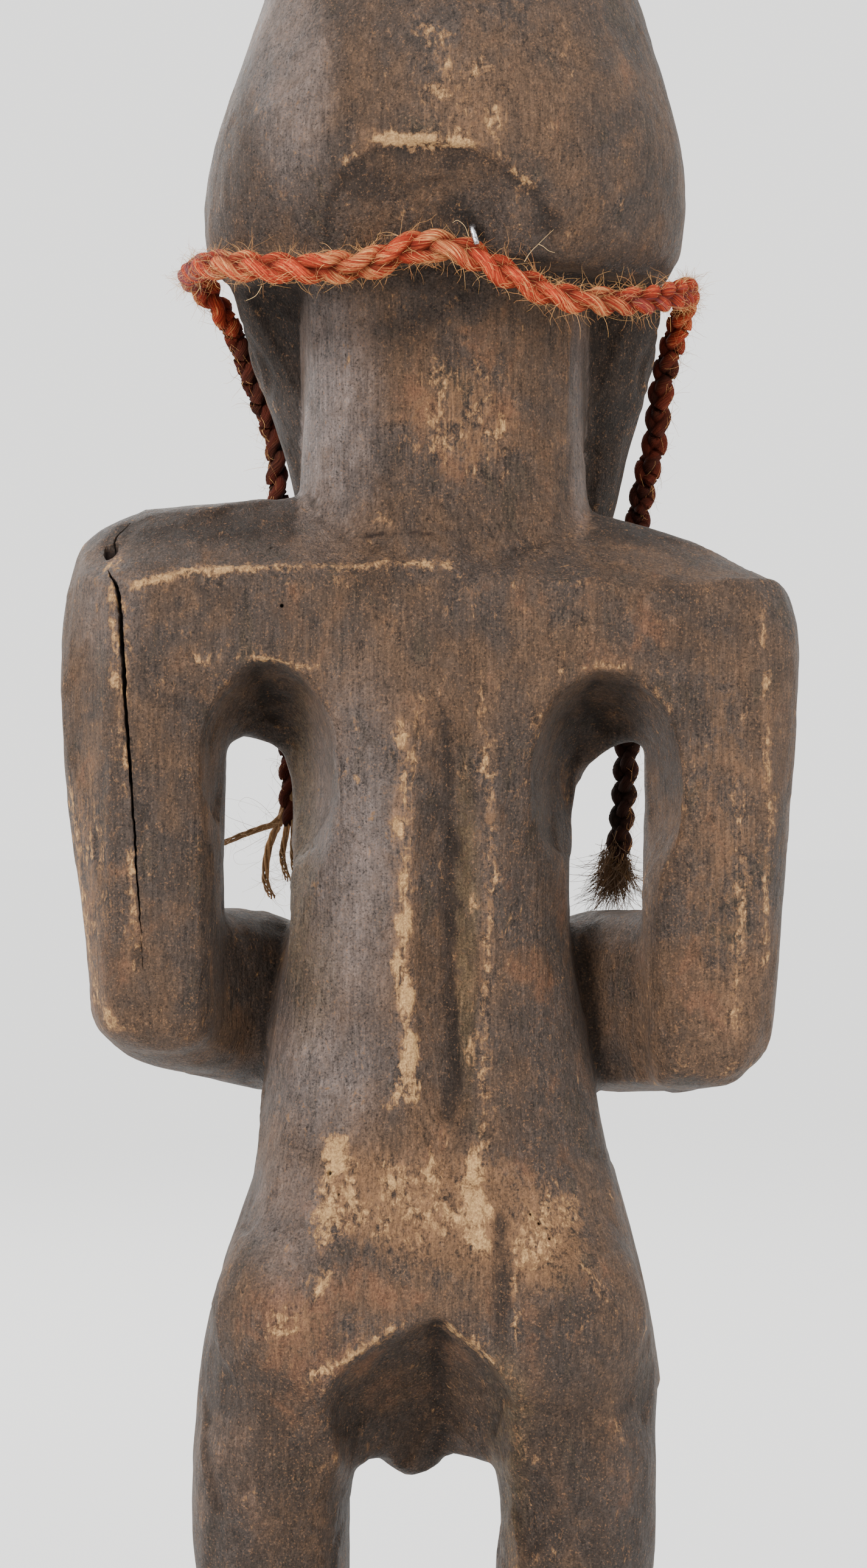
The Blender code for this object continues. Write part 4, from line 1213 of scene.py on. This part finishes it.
# Painted shade: a thin line over the yoke, where the crack is only a shallow groove, is darkened like
# the insides of the cuts.
painted_yoke_crack_shade = stroke([(585, 880), (640, 876), (680, 874), (716, 881)], 2.2) * seen
inside = np.maximum(ramp(off_skin, 0.0006, 0.0016), painted_yoke_crack_shade[match])
add_values(carving, "inside", inside)
print("inside the cuts:", int((off_skin > 0.001).sum()), "corners")

# %% [markdown]
# ## Old wood
# The surface is a dark grey-brown patina over red-brown wood. It is mottled at every size:
# broad tones, blotches of a few millimetres, and specks finer than a grain of sand, all
# drawn out a little along the grain, which runs up the figure.

# %% Wood material
wood_finish, tree, shader = new_material("old_carved_wood")
place = node(tree, "ShaderNodeTexCoord", out=3)
tones = speckle(tree, place, 30.0, 3.0, 0.55)
hues = speckle(tree, place, 1.0, 4.0, 0.6, stretch=(95, 95, 60), ragged=0.5)
blotches = speckle(tree, place, 1.0, 8.0, 0.70, stretch=(165, 165, 120), ragged=0.9)
mottle = speckle(tree, place, 1.0, 6.0, 0.74, stretch=(540, 540, 400), ragged=0.6)
streaks = speckle(tree, place, 1.0, 3.0, 0.6, stretch=(1100, 1100, 80))
scratches = speckle(tree, place, 1.0, 2.0, 0.5, stretch=(2300, 2300, 60))
specks = speckle(tree, place, 1700.0, 3.0, 0.7)
ridges, hollows = reading(tree, "ridge"), reading(tree, "hollow")

# %% Bare tones of the wood
warmth = spread(tree, weighed(tree, (tones, 1.0), (hues, 0.8)), 0.76, 1.04)
colour = mix(tree, warmth, (0.078, 0.056, 0.044), (0.120, 0.069, 0.040))
redness = weighed(tree, (reading(tree, "red"), 0.28), (hues, 1.2), (mottle, 0.5))
colour = mix(tree, showing(tree, redness, 0.96, 1.22, 0.64), colour, (0.162, 0.071, 0.036))
olive_share = weighed(tree, (reading(tree, "olive"), 0.75), (spread(tree, hues, 0.42, 0.30), 0.3))
colour = mix(tree, olive_share, colour, (0.145, 0.097, 0.048))
tanned = weighed(tree, (reading(tree, "tan"), 0.60), (blotches, 1.2), (mottle, 0.8), (streaks, 0.5))
tan_share = showing(tree, tanned, 1.46, 1.80, 0.90)
colour = mix(tree, tan_share, colour, (0.190, 0.100, 0.049))
print("wood material so far:", len(tree.nodes), "nodes")

# %% Crust, painted sheen, and dirt with painted shade
less_crust = [(reading(tree, "tan"), -0.10), (reading(tree, "pale"), -0.25)]
crusted = weighed(tree, (blotches, 1.0), (mottle, 0.9), *less_crust)
crust_share = spread(tree, crusted, 0.90, 1.06)
colour = mix(tree, maths(tree, "MULTIPLY", crust_share, 0.70), colour, (0.046, 0.030, 0.021))
# Painted sheen: the grey reflection is mixed into the colour, broken up by the blotches.
painted_sheen_share = maths(tree, "MULTIPLY", reading(tree, "painted_sheen"), spread(tree, blotches, 0.85, 0.25))
colour = mix(tree, maths(tree, "MULTIPLY", painted_sheen_share, 0.90), colour, (0.252, 0.200, 0.180))
# Dirt and painted shade: the hollows and the dark patches, both partly painted shade, go towards near
# black.
dirt_and_shade = weighed(tree, (hollows, 0.5), (reading(tree, "dark_patches_and_shade"), 0.62), (blotches, 0.9), (mottle, 0.9))
dirt_and_shade_share = showing(tree, dirt_and_shade, 1.02, 1.66, 0.88)
colour = mix(tree, dirt_and_shade_share, colour, (0.028, 0.019, 0.014))
shade = weighed(
    tree, (hues, 1.1), (blotches, 2.2), (mottle, 2.0), (specks, 2.1), (streaks, 1.3), (scratches, 0.6)
)
shade = maths(tree, "SUBTRACT", shade, 3.62)
shade = node(tree, "ShaderNodeClamp", {"Value": shade, "Min": 0.3, "Max": 2.3})
colour = node(tree, "ShaderNodeVectorMath", {0: colour, 3: shade}, operation="SCALE")
print("wood material so far:", len(tree.nodes), "nodes")

# %% Specks and worn places
grit = weighed(tree, (specks, 1.0), (mottle, 0.3), (reading(tree, "red"), 0.03), (ridges, 0.03))
orange = showing(tree, grit, 0.74, 0.84, 0.75)
colour = mix(tree, orange, colour, (0.28, 0.140, 0.066))
black = showing(tree, grit, 0.56, 0.46, 0.7)
colour = mix(tree, black, colour, (0.016, 0.012, 0.010))
worn = weighed(
    tree, (reading(tree, "pale"), 0.98), (ridges, 0.16), (blotches, -2.0), (mottle, 2.4), (streaks, 0.8)
)
half_bare = showing(tree, worn, 0.90, 1.24, 0.80)
bare = spread(tree, worn, 1.06, 1.52)
colour = mix(tree, half_bare, colour, (0.235, 0.118, 0.054))
raw_wood = mix(tree, spread(tree, specks, 0.3, 0.7), (0.36, 0.200, 0.090), (0.72, 0.44, 0.18))
colour = mix(tree, maths(tree, "MULTIPLY", bare, 0.92), colour, raw_wood)
# Painted shade: the insides of the cracks, the chip and the holes are mixed to near black.
colour = mix(tree, reading(tree, "inside"), colour, (0.020, 0.011, 0.008))
tree.links.new(colour, shader.inputs["Base Color"])

rough = weighed(tree, (reading(tree, "painted_sheen"), -0.14), (bare, 0.15), (mottle, 0.5))
tree.links.new(maths(tree, "ADD", rough, 0.30), shader.inputs["Roughness"])
shader.inputs["Specular IOR Level"].default_value = 0.22
relief = weighed(
    tree, (blotches, 1.7), (crust_share, 0.09), (mottle, 1.2), (streaks, 0.45), (scratches, 0.25),
    (specks, 0.35)
)
bumps = node(tree, "ShaderNodeBump", {"Height": relief, "Strength": 1.0, "Distance": 0.0019})
tree.links.new(bumps, shader.inputs["Normal"])
give(carving, wood_finish)
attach(carving, "root")
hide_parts("figure")
print("wood material:", len(tree.nodes), "nodes")

# %% [markdown]
# ## Floor and light
# A plain pale floor and a pale surround. A broad sun on the left of the camera rakes over the relief
# and gives the wood a specular sheen; the grey sheen on its left sides is painted into its colour. Two
# weak soft lights, on the right and in front, keep the shadows open.

# %% Floor
bpy.ops.mesh.primitive_plane_add(size=30, location=(0, 0, 0))
floor = bpy.context.object
floor.name = "floor"
floor_finish, tree, shader = new_material("pale_floor")
shader.inputs["Base Color"].default_value = (0.70, 0.70, 0.695, 1)
shader.inputs["Roughness"].default_value = 0.9
shader.inputs["Specular IOR Level"].default_value = 0.1
give(floor, floor_finish)


# %% Lights
def soft_light(name, place, target, size, power, colour):
    """A square soft light that faces a point."""
    turn = (Vector(target) - Vector(place)).to_track_quat("-Z", "Y").to_euler()
    bpy.ops.object.light_add(type="AREA", location=place, rotation=turn)
    light = bpy.context.object
    light.name = name
    light.data.size = size
    light.data.energy = power
    light.data.color = colour
    return light


towards_sun = Vector((0.50, 0.75, 0.42))
bpy.ops.object.light_add(type="SUN", rotation=towards_sun.to_track_quat("Z", "Y").to_euler())
key = bpy.context.object
key.name = "key"
key.data.angle = math.radians(20)
key.data.energy = 5.0
key.data.color = (0.98, 0.985, 1.0)
soft_light("fill", (-1.3, 0.9, 0.7), (0, 0, 0.35), 0.9, 9, (1.0, 0.95, 0.88))
soft_light("front", (0.6, -1.4, 1.3), (0, 0, 0.35), 1.2, 16, (1.0, 0.98, 0.96))
surround = bpy.data.worlds.new("pale_surround")
surround.use_nodes = True
surround.node_tree.nodes["Background"].inputs["Color"].default_value = (1.0, 0.995, 0.98, 1)
surround.node_tree.nodes["Background"].inputs["Strength"].default_value = 1.8
bpy.context.scene.world = surround
